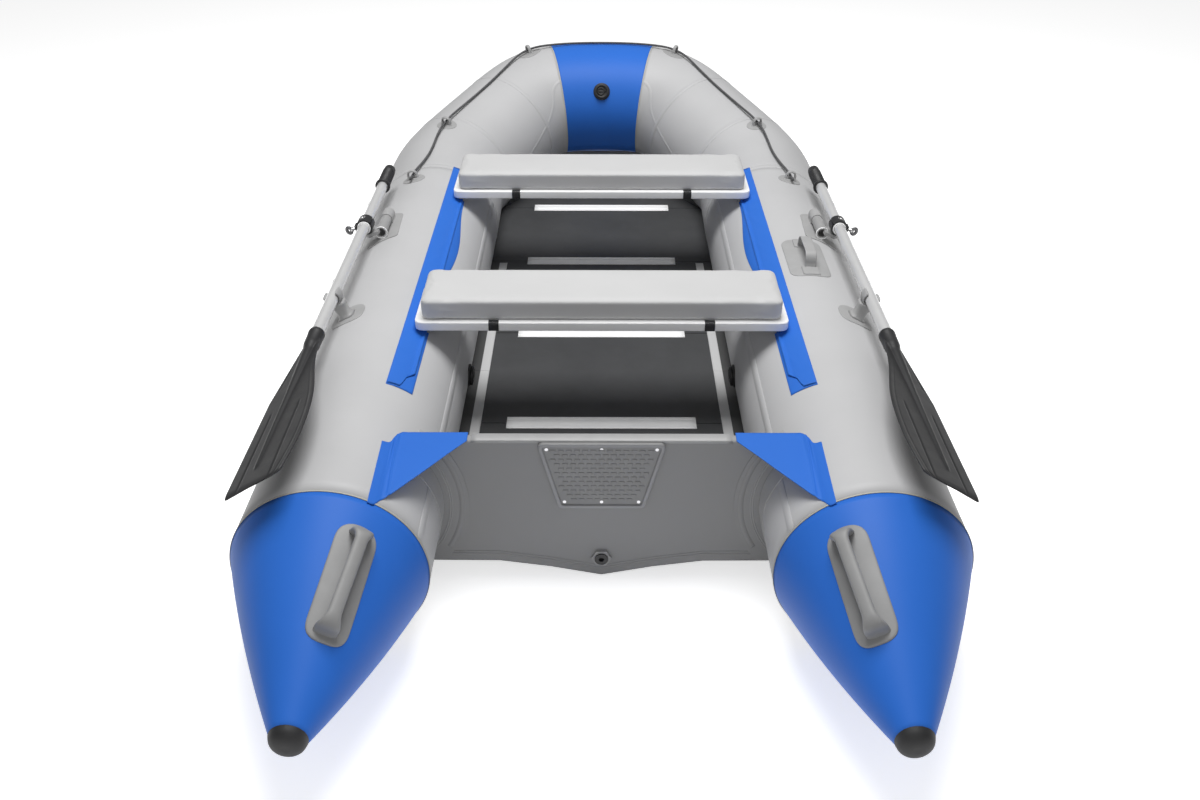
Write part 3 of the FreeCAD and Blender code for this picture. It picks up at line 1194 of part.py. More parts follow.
def make_oars():
    """Oar shaft, ribbed grip and blade, stowed along the tube."""
    shaft = cylinder(OAR_RADIUS, SHAFT_BOW - SHAFT_AFT, shaft_point(SHAFT_AFT))
    shaft = shaft.cut(cylinder(OAR_RADIUS - OAR_WALL, SHAFT_BOW - SHAFT_AFT + 2,
                               shaft_point(SHAFT_AFT - 1)))
    save("starboard_oar_shaft", shaft)
    save("port_oar_shaft", mirrored(shaft))

    grip = cylinder(GRIP_RADIUS, GRIP_LENGTH, Vector(0, 0, 0))
    grip = grip.makeFillet(6.0, [e for e in grip.Edges if e.CenterOfMass.y > GRIP_LENGTH - 0.1
                                 and len(e.Vertexes) == 1])
    pitch = (GRIP_LENGTH - 60.0) / GRIP_RIBS
    for i in range(GRIP_RIBS):
        groove = cylinder(GRIP_RADIUS + 2, pitch * 0.35, Vector(0, 40.0 + i * pitch, 0))
        core = cylinder(GRIP_RADIUS - GRIP_RIB_DEPTH, pitch, Vector(0, 38.0 + i * pitch, 0))
        grip = grip.cut(groove.cut(core))
    bore = cylinder(OAR_RADIUS + CLAMP_GRIP_GAP, GRIP_LENGTH - GRIP_CAP + 1.0, Vector(0, -1, 0))
    grip = grip.cut(bore)
    grip.translate(shaft_point(GRIP_AFT))
    save("starboard_oar_grip", grip)
    save("port_oar_grip", mirrored(grip))

    half = BLADE_THICKNESS / 2.0
    inner = Part.BSplineCurve()
    inner.interpolate([Vector(w, y, -half) for w, y in BLADE_INNER])
    end_a, end_b = BLADE_INNER[-1], BLADE_OUTER[0]
    outer = [Vector(w, y, -half) for w, y in BLADE_OUTER]
    edges = [inner.toShape(), line(Vector(end_a[0], end_a[1], -half), outer[0])]
    edges += [line(a, b) for a, b in zip(outer, outer[1:])]
    edges += [line(outer[-1], Vector(BLADE_INNER[0][0], BLADE_INNER[0][1], -half))]
    plate = Part.Face(Part.Wire(edges)).extrude(UP * BLADE_THICKNESS)
    corners = [e for e in plate.Edges
               if abs(e.tangentAt(e.FirstParameter).z) > 0.99
               and e.CenterOfMass.y < BLADE_CORNERS]
    plate = plate.makeFillet(BLADE_CORNER, corners)
    neck = cylinder(BLADE_NECK_RADIUS, BLADE_NECK_BOW - BLADE_NECK_AFT,
                    Vector(0, BLADE_NECK_AFT, 0))
    ridge = Part.makeCone(BLADE_RIDGE_TIP, BLADE_NECK_RADIUS, BLADE_NECK_AFT - BLADE_RIDGE_END,
                          Vector(0, BLADE_RIDGE_END, 0), FORWARD)
    blade = fused([plate, neck, ridge])
    socket = -SOCKET_DEPTH - 1.0
    blade = blade.cut(cylinder(OAR_RADIUS + CLAMP_GRIP_GAP, BLADE_NECK_BOW + 1.0 - socket,
                               Vector(0, socket, 0)))
    turn = math.radians(BLADE_TILT)
    side = Vector(math.cos(turn), 0, -math.sin(turn))
    away = Vector(math.sin(turn), 0, math.cos(turn))
    blade = placed(blade, placement(shaft_point(BLADE_STATION), side, FORWARD, away))
    save("starboard_oar_blade", blade)
    save("port_oar_blade", mirrored(blade))


def make_clips():
    """Rubber clip under each shaft, open at the top, on its own patch."""
    frame = axis_frame(CLIP_STATION)
    place = surface_place(frame, OAR_AXIS_ANGLE)
    height = OAR_AXIS_RADIUS - TUBE_RADIUS
    half = CLIP_WIDTH / 2.0
    inner = OAR_RADIUS + GLUE_GAP
    outer = inner + CLIP_WALL
    ring = cylinder(outer, CLIP_WIDTH, Vector(0, -half, height))
    foot = Part.makeBox(2 * CLIP_FOOT, CLIP_WIDTH, height + 10.0,
                        Vector(-CLIP_FOOT, -half, -10.0))
    body = fused([ring, foot]).cut(cylinder(inner, CLIP_WIDTH + 2, Vector(0, -half - 1, height)))
    reach = 2.0 * outer
    spread = reach * math.tan(math.radians(CLIP_MOUTH))
    mouth = prism([Vector(0, -half - 1, height), Vector(spread, -half - 1, height + reach),
                   Vector(-spread, -half - 1, height + reach)], FORWARD * (CLIP_WIDTH + 2))
    body = placed(body.cut(mouth), place)
    skin_out = side_solid(TUBE_RADIUS + GLUE_GAP + LOCK_PATCH)
    skin = skin_out.cut(side_solid(TUBE_RADIUS + GLUE_GAP))
    patch = placed(rounded_prism(50.0, CLIP_PATCH_LENGTH / 2, 22.0, -40.0, 40.0), place)
    body = body.cut(side_solid(TUBE_RADIUS + GLUE_GAP + LOCK_PATCH / 2))
    save("oar_clips", both(fused([patch.common(skin), body])))


# ---------------------------------------------------------------- valves

def valve_hole(station, turn, angle):
    """Hole in the tube's fabric for a valve."""
    place = surface_place(axis_frame(station, turn), angle)
    return placed(cylinder(VALVE_NECK + VALVE_HOLE_GAP, 60.0, Vector(0, 0, -30.0), UP), place)


def valve_pieces(stock):
    """Body, cap and spring-loaded stem of a valve, in local coordinates."""
    height = VALVE_FLANGE_HEIGHT
    flange = cylinder(VALVE_FLANGE, height + 8.0, Vector(0, 0, -8.0), UP).cut(stock)
    neck = cylinder(VALVE_NECK, VALVE_DEPTH + height, Vector(0, 0, -VALVE_DEPTH), UP)
    body = fused([flange, neck])
    seat = 3.0
    chamber = cylinder(VALVE_BORE, VALVE_DEPTH + height + 2.0,
                       Vector(0, 0, -VALVE_DEPTH + seat), UP)
    port = cylinder(VALVE_BORE - 5.0, seat + 2.0, Vector(0, 0, -VALVE_DEPTH - 1.0), UP)
    body = body.cut(chamber).cut(port)
    spider_low = -VALVE_DEPTH + seat
    bush = cylinder(VALVE_GUIDE, 6.0, Vector(0, 0, spider_low), UP)
    web = Part.makeBox(2 * VALVE_BORE + 1.0, 3.0, 6.0,
                       Vector(-VALVE_BORE - 0.5, -1.5, spider_low))
    spider = fused([bush, web]).cut(cylinder(VALVE_STEM + PIN_CLEARANCE, 8.0,
                                             Vector(0, 0, spider_low - 1.0), UP))
    body = fused([body, spider])

    disc_top = -VALVE_DEPTH
    disc = cylinder(VALVE_BORE - 2.0, VALVE_DISC_HEIGHT,
                    Vector(0, 0, disc_top - VALVE_DISC_HEIGHT), UP)
    stem = cylinder(VALVE_STEM, VALVE_DEPTH - 7.0, Vector(0, 0, disc_top - 1.0), UP)
    button = cylinder(VALVE_STEM + 1.5, 2.0, Vector(0, 0, -8.0), UP)
    poppet = fused([disc, stem, button])

    base = height + GLUE_GAP
    cap = cylinder(VALVE_CAP_RADIUS, VALVE_CAP_HEIGHT, Vector(0, 0, base), UP)
    cap = cap.makeFillet(2.5, [e for e in cap.Edges if e.CenterOfMass.z > base + 1.0
                               and len(e.Vertexes) == 1])
    skirt_radius = VALVE_BORE - GLUE_GAP
    skirt = cylinder(skirt_radius, VALVE_CAP_SKIRT + GLUE_GAP + 1.0,
                     Vector(0, 0, height - VALVE_CAP_SKIRT), UP)
    hollow = cylinder(skirt_radius - VALVE_CAP_WALL, VALVE_CAP_SKIRT + 2.0,
                      Vector(0, 0, height - VALVE_CAP_SKIRT - 1.0), UP)
    pocket = cylinder(VALVE_CAP_RADIUS - 8.0, 5.0, Vector(0, 0, base + VALVE_CAP_HEIGHT - 4.0), UP)
    rib = Part.makeBox(2 * VALVE_CAP_RADIUS - 14.0, VALVE_RIB, 5.5,
                       Vector(-VALVE_CAP_RADIUS + 7.0, -VALVE_RIB / 2,
                              base + VALVE_CAP_HEIGHT - 5.0))
    cap = fused([fused([cap.cut(pocket), skirt]).cut(hollow), rib])
    return body, cap, poppet


def make_valves():
    """A valve on the inner side of each side tube and one on the bow centre tube."""
    side_place = surface_place(axis_frame(VALVE_STATION), VALVE_ANGLE)
    bow_place = surface_place(axis_frame(CURVE_START, 1.0), BOW_VALVE_ANGLE)
    side_stock = placed(side_solid(TUBE_RADIUS + GLUE_GAP), side_place.inverse())
    bow_stock = placed(centre_solid(TUBE_RADIUS + GLUE_GAP), bow_place.inverse())
    side_set = [placed(p, side_place) for p in valve_pieces(side_stock)]
    bow_set = [placed(p, bow_place) for p in valve_pieces(bow_stock)]
    save("valve_bodies", Part.makeCompound([side_set[0], mirrored(side_set[0]), bow_set[0]]))
    for i, piece in ((1, "valve_cap"), (2, "valve_poppet")):
        save(f"starboard_{piece}", side_set[i])
        save(f"port_{piece}", mirrored(side_set[i]))
        save(f"bow_{piece}", bow_set[i])


os.makedirs("parts", exist_ok=True)
make_tubes()
make_bottom()
make_transom()
make_floor()
make_seats()
make_strakes()
make_handles()
make_eyes()
make_ropes()
make_oarlocks()
make_clamps()
make_oars()
make_clips()
make_valves()
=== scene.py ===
import math

import bpy
import numpy as np
from mathutils import Matrix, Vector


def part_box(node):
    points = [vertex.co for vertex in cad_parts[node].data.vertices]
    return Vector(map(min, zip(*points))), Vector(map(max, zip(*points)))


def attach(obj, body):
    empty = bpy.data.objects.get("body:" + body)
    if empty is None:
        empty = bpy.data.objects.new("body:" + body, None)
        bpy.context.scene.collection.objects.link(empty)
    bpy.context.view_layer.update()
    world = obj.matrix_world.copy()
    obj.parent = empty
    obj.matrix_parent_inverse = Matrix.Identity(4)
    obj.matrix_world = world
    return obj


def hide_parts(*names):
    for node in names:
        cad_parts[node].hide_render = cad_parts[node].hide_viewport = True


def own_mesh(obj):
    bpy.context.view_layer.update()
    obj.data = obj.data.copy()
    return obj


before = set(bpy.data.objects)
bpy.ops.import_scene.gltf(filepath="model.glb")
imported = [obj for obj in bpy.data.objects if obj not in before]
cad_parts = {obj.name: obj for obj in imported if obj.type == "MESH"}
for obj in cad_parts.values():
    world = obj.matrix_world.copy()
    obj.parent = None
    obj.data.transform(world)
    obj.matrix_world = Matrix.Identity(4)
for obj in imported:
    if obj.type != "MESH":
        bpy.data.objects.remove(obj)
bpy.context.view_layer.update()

# Looks of an inflatable dinghy.  Metres; +X starboard, +Y towards the bow, +Z up.
# A "station" is a distance ahead of the seam between side tube and stern cone, a "turn" runs from
# 0 where the tube starts to curve in to 1 at the middle of the bow, and angles on a tube count
# from its top, outboard positive, in degrees.  Paired pieces are made for starboard and mirrored.

# ---------------------------------------------------------------- sizes, read from the frame

SIDE_LOW, SIDE_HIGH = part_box("starboard_side_tube")
TUBE_RADIUS = (SIDE_HIGH[0] - SIDE_LOW[0]) / 2.0
HALF_SPACING = (SIDE_HIGH[0] + SIDE_LOW[0]) / 2.0
AXIS_HEIGHT = (SIDE_HIGH[2] + SIDE_LOW[2]) / 2.0
SEAM_Y = SIDE_LOW[1]
SIDE_TUBE_LENGTH = SIDE_HIGH[1] - SIDE_LOW[1]
GROUND_TO_TUBES = AXIS_HEIGHT - TUBE_RADIUS

CURVE_START = 2.030
CURVE_LEAD = 0.256
CURVE_KNEE_X = 0.220
CURVE_KNEE_Y = 2.521
BOW_FLAT_HALF = 0.407
BOW_REACH = 2.602
BOW_SHEER = 0.190
CENTRE_SEAM_TURN = 0.85

CONE_LENGTH = 0.450
CONE_TIP_RADIUS = 0.032
CONE_TOE_IN = 0.018
CONE_BULGE = 0.009

# ---------------------------------------------------------------- camera

CAMERA_PLACE = (-0.004, SEAM_Y - 1.7215, GROUND_TO_TUBES + 1.761)
CAMERA_PITCH = 33.09       # below the horizon
CAMERA_ROLL = 0.12
CAMERA_LENS = 32.41


def make_camera():
    """The photograph's viewpoint: pitched down over the stern, looking at the bow."""
    data = bpy.data.cameras.new("camera")
    data.lens = CAMERA_LENS
    data.sensor_width = 36.0
    camera = bpy.data.objects.new("camera", data)
    bpy.context.collection.objects.link(camera)
    tilt = Matrix.Rotation(math.radians(90.0 - CAMERA_PITCH), 4, "X")
    roll = Matrix.Rotation(math.radians(CAMERA_ROLL), 4, "Z")
    camera.matrix_world = Matrix.Translation(CAMERA_PLACE) @ tilt @ roll
    bpy.context.scene.camera = camera


# ---------------------------------------------------------------- the tube's axis

def bezier(turn, points):
    """Values and slopes of a Bezier curve: Bernstein weights times the control points, summed."""
    degree = len(points) - 1
    value = sum(math.comb(degree, i) * (1 - turn) ** (degree - i) * turn ** i * p
                for i, p in enumerate(points))
    slope = sum(degree * math.comb(degree - 1, i) * (1 - turn) ** (degree - 1 - i) * turn ** i
                * (points[i + 1] - points[i]) for i in range(degree))
    return value, slope


def unit(vectors):
    """Vectors divided by their lengths."""
    return vectors / np.linalg.norm(vectors, axis=-1, keepdims=True)


def axis_frames(station, turn):
    """Axis points with outboard, up and forward directions.

    Straight up to the curve's start, then a quartic Bezier curve in plan; the height rises with
    the square of the distance beyond the side tube.  Outboard is level and square to the axis,
    and up is outboard crossed with forward.
    """
    station, turn = np.broadcast_arrays(np.asarray(station, float), np.asarray(turn, float))
    curved = turn > 0.0
    x, dx = bezier(turn, (HALF_SPACING, HALF_SPACING, CURVE_KNEE_X, BOW_FLAT_HALF, 0.0))
    y, dy = bezier(turn, (CURVE_START, CURVE_START + CURVE_LEAD, CURVE_KNEE_Y, BOW_REACH,
                          BOW_REACH))
    x, dx = np.where(curved, x, HALF_SPACING), np.where(curved, dx, 0.0)
    y, dy = np.where(curved, y, station), np.where(curved, dy, 1.0)
    run = BOW_REACH - SIDE_TUBE_LENGTH
    climb = np.maximum(y - SIDE_TUBE_LENGTH, 0.0) / run
    z = AXIS_HEIGHT + BOW_SHEER * climb ** 2
    dz = 2.0 * BOW_SHEER * climb / run * dy
    forward = unit(np.stack([dx, dy, dz], -1))
    outboard = unit(np.stack([forward[..., 1], -forward[..., 0], 0 * dx], -1))
    return np.stack([x, SEAM_Y + y, z], -1), outboard, np.cross(outboard, forward), forward


def on_tube(station, turn, angle, height):
    """Points over the tube: axis + radius x (outboard x sine + up x cosine) of the angle."""
    point, outboard, up, _ = axis_frames(station, turn)
    angle = np.radians(np.asarray(angle, float))[..., None]
    radius = (TUBE_RADIUS + np.asarray(height, float))[..., None]
    return point + radius * (outboard * np.sin(angle) + up * np.cos(angle))


def patch_frame(station, turn, angle):
    """Origin on the tube with directions outboard-and-down, forward and away from it."""
    _, outboard, up, forward = axis_frames(station, turn)
    s, c = math.sin(math.radians(angle)), math.cos(math.radians(angle))
    origin = on_tube(station, turn, angle, 0.0)
    return origin, outboard * c - up * s, forward, outboard * s + up * c


def tilted(angle):
    """Outboard and upward directions, leaned down outboard by an angle."""
    turn = math.radians(angle)
    return (np.array([math.cos(turn), 0.0, -math.sin(turn)]),
            np.array([math.sin(turn), 0.0, math.cos(turn)]))


SIDES = (("starboard", 1.0), ("port", -1.0))
TURN_STEP = 0.005          # short enough to measure the axis by
ACROSS, FORWARD, UP = np.eye(3)


def mirrored(points):
    """The same points on the port side."""
    return points * np.array([-1.0, 1.0, 1.0])


def tube_place(station, turn, angle):
    """Placer over the tube: distances outboard-and-down, forward and away give points."""
    here, ahead = (axis_frames(station, turn + step)[0] for step in (0.0, TURN_STEP))
    reach_per_turn = np.linalg.norm(ahead - here) / TURN_STEP

    def place(across, forward, height):
        around = angle + np.degrees(across / TUBE_RADIUS)
        if turn == 0.0:
            return on_tube(station + forward, 0.0 * forward, around, height)
        return on_tube(station + 0.0 * forward, turn + forward / reach_per_turn, around, height)

    return place


def level_place(station_y):
    """Placer in the boat's own directions, from a point on its middle line."""
    def place(across, forward, height):
        return np.stack([across, station_y + forward, height], -1)

    return place


# ---------------------------------------------------------------- meshes

def make_object(name, vertices, faces, material, uv=None, smooth=True):
    """Mesh object at the origin from vertex rows and a list of face index arrays."""
    mesh = bpy.data.meshes.new(name)
    loops = np.concatenate([f.ravel() for f in faces])
    sizes = np.concatenate([np.full(len(f), f.shape[1]) for f in faces])
    starts = np.concatenate([[0], np.cumsum(sizes)[:-1]])
    mesh.vertices.add(len(vertices))
    mesh.vertices.foreach_set("co", np.asarray(vertices, np.float32).ravel())
    mesh.loops.add(len(loops))
    mesh.loops.foreach_set("vertex_index", loops.astype(np.int32))
    mesh.polygons.add(len(sizes))
    mesh.polygons.foreach_set("loop_start", starts.astype(np.int32))
    mesh.polygons.foreach_set("loop_total", sizes.astype(np.int32))
    mesh.polygons.foreach_set("use_smooth", np.full(len(sizes), smooth))
    mesh.update(calc_edges=True)
    if uv is not None:
        layer = mesh.uv_layers.new(name="surface")
        layer.data.foreach_set("uv", np.asarray(uv, np.float32).ravel())
    mesh.validate()
    mesh.materials.append(material)
    piece = bpy.data.objects.new(name, mesh)
    bpy.context.collection.objects.link(piece)
    return piece


def enclosed(vertices, faces):
    """Volume inside the faces: a sixth of each triangle's triple product, summed."""
    spread = vertices - vertices.mean(axis=0)
    total = 0.0
    for face in faces:
        corner = spread[face]
        for k in range(1, face.shape[1] - 1):
            total += np.sum(corner[:, 0] * np.cross(corner[:, k], corner[:, k + 1])) / 6.0
    return total


def grid_piece(name, points, material, wrap=False, ends=False, loop=False, sign=1.0, thick=0.0):
    """Surface on a grid of points [rows, columns, 3], one quad between four neighbours.

    wrap joins the last column to the first, loop the last row to the first, and ends closes the
    first and last row, each with a fan to its middle.  A closed piece is turned to face outwards,
    and an open one faces the side from which its rows run to the left of its columns.  The
    surface coordinates are metres along the middle row and column.
    """
    points = np.asarray(points, float) * np.array([sign, 1.0, 1.0])
    rows, columns = points.shape[:2]
    index = np.arange(rows * columns).reshape(rows, columns)
    grown = np.concatenate([index, index[:1]]) if loop else index
    left = grown if wrap else grown[:, :-1]
    right = np.roll(grown, -1, axis=1) if wrap else grown[:, 1:]
    quads = np.stack([left[:-1], right[:-1], right[1:], left[1:]], -1).reshape(-1, 4)
    ahead = np.concatenate([points[:, columns // 2], points[:1, columns // 2]])
    beside = np.concatenate([points[rows // 2], points[rows // 2, :1]])
    v = np.concatenate([[0], np.cumsum(np.linalg.norm(np.diff(ahead, axis=0), axis=-1))])
    u = np.concatenate([[0], np.cumsum(np.linalg.norm(np.diff(beside, axis=0), axis=-1))])
    i, j = np.divmod(np.arange(len(quads)), right.shape[1])
    uv = [np.stack([np.stack([u[j], u[j + 1], u[j + 1], u[j]], -1),
                    np.stack([v[i], v[i], v[i + 1], v[i + 1]], -1)], -1)]
    faces = [quads]
    vertices = points.reshape(-1, 3)
    if ends:
        middles = np.stack([points[0].mean(axis=0), points[-1].mean(axis=0)])
        for row, back in ((0, True), (rows - 1, False)):
            a, b = index[row], np.roll(index[row], -1)
            fan = np.stack([a, b, np.full_like(a, len(vertices) + (row > 0))], -1)
            faces.append(fan[:, ::-1] if back else fan)
            uv.append(np.zeros((len(fan), 3, 2)))
        vertices = np.concatenate([vertices, middles])
    closed = ends or (loop and wrap)
    if enclosed(vertices, faces) < 0.0 if closed else sign < 0.0:
        faces = [face[:, ::-1] for face in faces]
        uv = [spots[:, ::-1] for spots in uv]
    piece = make_object(name, vertices, faces, material,
                        np.concatenate([spots.reshape(-1, 2) for spots in uv]))
    if thick:
        wall = piece.modifiers.new("wall", "SOLIDIFY")
        wall.thickness = thick
        wall.offset = -1.0
    return piece


def swept(name, path, up, profile, material, loop=False, sign=1.0):
    """Closed bar: a profile [columns, 2] carried along a path.

    Its second coordinate is measured along "up", made square to the path, and its first across.
    """
    path = np.asarray(path, float)
    if loop:
        tangent = unit(np.roll(path, -1, axis=0) - np.roll(path, 1, axis=0))
    else:
        tangent = unit(np.gradient(path, axis=0))
    up = np.asarray(up, float) + np.zeros_like(path)
    across = unit(np.cross(tangent, up))
    up = np.cross(across, tangent)
    profile = np.asarray(profile, float)
    if profile.ndim == 2:
        profile = np.broadcast_to(profile, (len(path),) + profile.shape)
    points = path[:, None] + across[:, None] * profile[..., :1] + up[:, None] * profile[..., 1:]
    return grid_piece(name, points, material, wrap=True, ends=not loop, loop=loop, sign=sign)


def circle(radius, count):
    """Points of a circle, counter-clockwise."""
    turn = np.arange(count) * 2.0 * math.pi / count
    return radius * np.stack([np.cos(turn), np.sin(turn)], -1)


def hoop(middle, first, second, half_first, half_second):
    """Oval line about a middle: cosine along one direction and sine along another."""
    oval = circle(1.0, 48) * (half_first, half_second)
    return middle + oval[:, :1] * first + oval[:, 1:] * second


def squarish(count, power):
    """Circle pressed towards a square: each coordinate's size raised to a power."""
    ring = circle(1.0, count)
    return np.sign(ring) * np.abs(ring) ** power


def swelling(distance, width):
    """Gaussian rise: one at no distance, falling away over the width."""
    return np.exp(-(distance / width) ** 2)


def lathe(name, base, away, profile, material, sign):
    """Closed turned piece: profile rows (height along away, radius) spun round that line."""
    away = unit(np.asarray(away, float))
    first = unit(np.cross(FORWARD if abs(away[1]) < 0.9 else ACROSS, away))
    spoke = hoop(0.0, first, np.cross(away, first), 1.0, 1.0)
    profile = np.asarray(profile, float)[:, None]
    points = base + profile[..., :1] * away + profile[..., 1:] * spoke
    return grid_piece(name, points, material, wrap=True, ends=True, sign=sign)


def through(points, count):
    """Smooth line through points: Catmull-Rom cubics, count points in all."""
    points = np.asarray(points, float)
    padded = np.concatenate([2 * points[:1] - points[1:2], points,
                             2 * points[-1:] - points[-2:-1]])
    spans = len(points) - 1
    place = np.linspace(0.0, spans, count)
    k = np.minimum(place.astype(int), spans - 1)
    t = (place - k)[:, None]
    a, b, c, d = (padded[k + step] for step in range(4))
    return 0.5 * (2 * b + (c - a) * t + (2 * a - 5 * b + 4 * c - d) * t ** 2
                  + (3 * b - a - 3 * c + d) * t ** 3)


def evenly(points, count, closed=False):
    """The same line with points at equal distances along it."""
    points = np.asarray(points, float)
    if closed:
        points = np.concatenate([points, points[:1]])
    run = np.concatenate([[0], np.cumsum(np.linalg.norm(np.diff(points, axis=0), axis=-1))])
    place = np.linspace(0.0, run[-1], count, endpoint=not closed)
    return np.stack([np.interp(place, run, column) for column in points.T], -1)


def rounded_polygon(corners, radius):
    """Closed outline whose corners are quadratic curves between the arcs' tangent points."""
    corners = np.asarray(corners, float)
    back = np.roll(corners, 1, axis=0) - corners
    ahead = np.roll(corners, -1, axis=0) - corners
    back_run, ahead_run = np.linalg.norm(back, axis=1), np.linalg.norm(ahead, axis=1)
    cosine = np.sum(back * ahead, axis=1) / (back_run * ahead_run)
    reach = radius / np.tan(np.arccos(np.clip(cosine, -1.0, 1.0)) / 2.0)
    reach = np.minimum(reach, 0.49 * np.minimum(back_run, ahead_run))
    start = corners + back * (reach / back_run)[:, None]
    end = corners + ahead * (reach / ahead_run)[:, None]
    t = np.linspace(0.0, 1.0, 8)[None, :, None]
    curve = ((1 - t) ** 2 * start[:, None] + 2 * t * (1 - t) * corners[:, None]
             + t ** 2 * end[:, None])
    return curve.reshape(-1, 2)


def rounded_box(half_across, half_along, radius, count):
    """Rectangle with round corners, evenly divided."""
    corners = [(half_across, -half_along), (half_across, half_along),
               (-half_across, half_along), (-half_across, -half_along)]
    return evenly(rounded_polygon(corners, radius), count, closed=True)


def inset_line(outline, inset):
    """Closed counter-clockwise outline moved inwards along its normals."""
    ahead = unit(np.roll(outline, -1, axis=0) - np.roll(outline, 1, axis=0))
    return outline + inset * np.stack([-ahead[:, 1], ahead[:, 0]], -1)


def ringed(name, place, outline, rings, material, sign=1.0):
    """Closed form of rings from the middle of its underside to the middle of its top.

    A ring is the outline moved inwards by an inset, drawn in to a share of its size about its
    middle, at a height.
    """
    middle = outline.mean(axis=0)
    rows = []
    for inset, share, height in rings:
        ring = middle + (inset_line(outline, inset) - middle) * share
        rows.append(place(ring[:, 0], ring[:, 1], np.full(len(ring), float(height))))
    return grid_piece(name, np.stack(rows), material, wrap=True, ends=True, sign=sign)


PATCH_SUNK = 0.0004        # its underside lies this far inside the tube


def patch_rings(thick, edge, crown=0.0, shares=(0.8, 0.6, 0.4, 0.2, 0.03)):
    """Rings of a glued patch with a softened edge and a crowned middle."""
    under = [(0.0, s, -PATCH_SUNK) for s in reversed(shares)]
    rim = [(0.0, 1.0, -PATCH_SUNK), (0.0, 1.0, 0.5 * thick), (0.3 * edge, 1.0, 0.87 * thick),
           (edge, 1.0, thick)]
    top = [(edge, s, thick + crown * (1.0 - s * s)) for s in shares]
    return under + rim + top


def slab_rings(low, high, edge_low, edge_high):
    """Rings of a slab with quarter-round edges."""
    turn = np.linspace(0.0, math.pi / 2.0, 6)
    rings = [(edge_low, s, low) for s in (0.03, 0.4, 0.8)]
    rings += [(edge_low * (1 - math.sin(t)), 1.0, low + edge_low * (1 - math.cos(t)))
              for t in turn]
    rings += [(edge_high * (1 - math.cos(t)), 1.0, high - edge_high * (1 - math.sin(t)))
              for t in turn]
    rings += [(edge_high, s, high) for s in (0.9, 0.75, 0.5, 0.25, 0.03)]
    return rings


def fit(piece, body, slot, *nodes):
    """Says what a piece moves with and which plain nodes it stands for; the finish slot is not
    used.
    """
    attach(piece, body)
    if nodes:
        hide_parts(*nodes)


def both_sides(node, sign):
    """A plain node that holds both sides, which the starboard piece alone stands for."""
    return [node] if sign > 0 else []


# ---------------------------------------------------------------- materials

def shader_tree(name):
    """New material, its shader, and helpers that add a node and that drive a shader socket."""
    material = bpy.data.materials.new(name)
    material.use_nodes = True
    tree = material.node_tree
    shader = tree.nodes["Principled BSDF"]

    def add(kind, inputs=None, **settings):
        node = tree.nodes.new(kind)
        for key, value in settings.items():
            setattr(node, key, value)
        for key, value in (inputs or {}).items():
            if isinstance(value, bpy.types.NodeSocket):
                tree.links.new(value, node.inputs[key])
            else:
                node.inputs[key].default_value = value
        return node

    def drive(socket, value):
        tree.links.new(value, shader.inputs[socket])

    return material, shader, add, drive


def tinted(colour, share):
    """A linear colour made lighter or darker by a share."""
    return [min(max(c * (1.0 + share), 0.0), 1.0) for c in colour] + [1.0]


def mottled(add, coordinates, colour, scale, spread):
    """Colour that wanders a little either side of its own value."""
    noise = add("ShaderNodeTexNoise", {"Vector": coordinates, "Scale": scale, "Detail": 4.0,
                                       "Roughness": 0.6})
    ramp = add("ShaderNodeValToRGB", {"Fac": noise.outputs["Fac"]})
    for element, position, share in zip(ramp.color_ramp.elements, (0.3, 0.7), (-spread, spread)):
        element.position = position
        element.color = tinted(colour, share)
    return ramp.outputs["Color"]


def coated_fabric(name, colour, roughness=0.5, weave=0.0011, shine=0.35):
    """Coated fabric: woven cloth under a smooth coat, with a faint print of the threads."""
    material, shader, add, drive = shader_tree(name)
    place = add("ShaderNodeTexCoord")
    drive("Base Color", mottled(add, place.outputs["Object"], colour, 3.5, 0.025))
    threads = []
    for direction in ("X", "Y"):
        wave = add("ShaderNodeTexWave", {"Vector": place.outputs["UV"],
                                         "Scale": 2.0 * math.pi / (20.0 * weave)},
                   wave_type="BANDS", bands_direction=direction)
        threads.append(wave.outputs["Fac"])
    cloth = add("ShaderNodeMath", {0: threads[0], 1: threads[1]}, operation="MULTIPLY")
    soft = add("ShaderNodeTexNoise", {"Vector": place.outputs["Object"], "Scale": 7.0,
                                      "Detail": 2.0})
    print_through = add("ShaderNodeBump", {"Height": cloth.outputs[0], "Strength": 0.06,
                                           "Distance": 0.0002})
    bump = add("ShaderNodeBump", {"Height": soft.outputs["Fac"], "Strength": 0.10,
                                  "Distance": 0.006, "Normal": print_through.outputs[0]})
    drive("Normal", bump.outputs[0])
    sheen = add("ShaderNodeMapRange", {"Value": soft.outputs["Fac"], "To Min": roughness - 0.04,
                                       "To Max": roughness + 0.05})
    drive("Roughness", sheen.outputs[0])
    shader.inputs["Specular IOR Level"].default_value = shine
    return material


def moulded(name, colour, roughness=0.5):
    """Moulded plastic or rubber with a fine spark-eroded grain and faint scuffs."""
    material, _, add, drive = shader_tree(name)
    place = add("ShaderNodeTexCoord").outputs["Object"]
    drive("Base Color", mottled(add, place, colour, 14.0, 0.06))
    fine = add("ShaderNodeTexNoise", {"Vector": place, "Scale": 900.0, "Detail": 2.0})
    bump = add("ShaderNodeBump", {"Height": fine.outputs["Fac"], "Strength": 0.35,
                                  "Distance": 0.00012})
    drive("Normal", bump.outputs[0])
    scuffs = add("ShaderNodeTexNoise", {"Vector": place, "Scale": 30.0, "Detail": 5.0})
    wear = add("ShaderNodeMapRange", {"Value": scuffs.outputs["Fac"], "To Min": roughness - 0.08,
                                      "To Max": roughness + 0.08})
    drive("Roughness", wear.outputs[0])
    return material


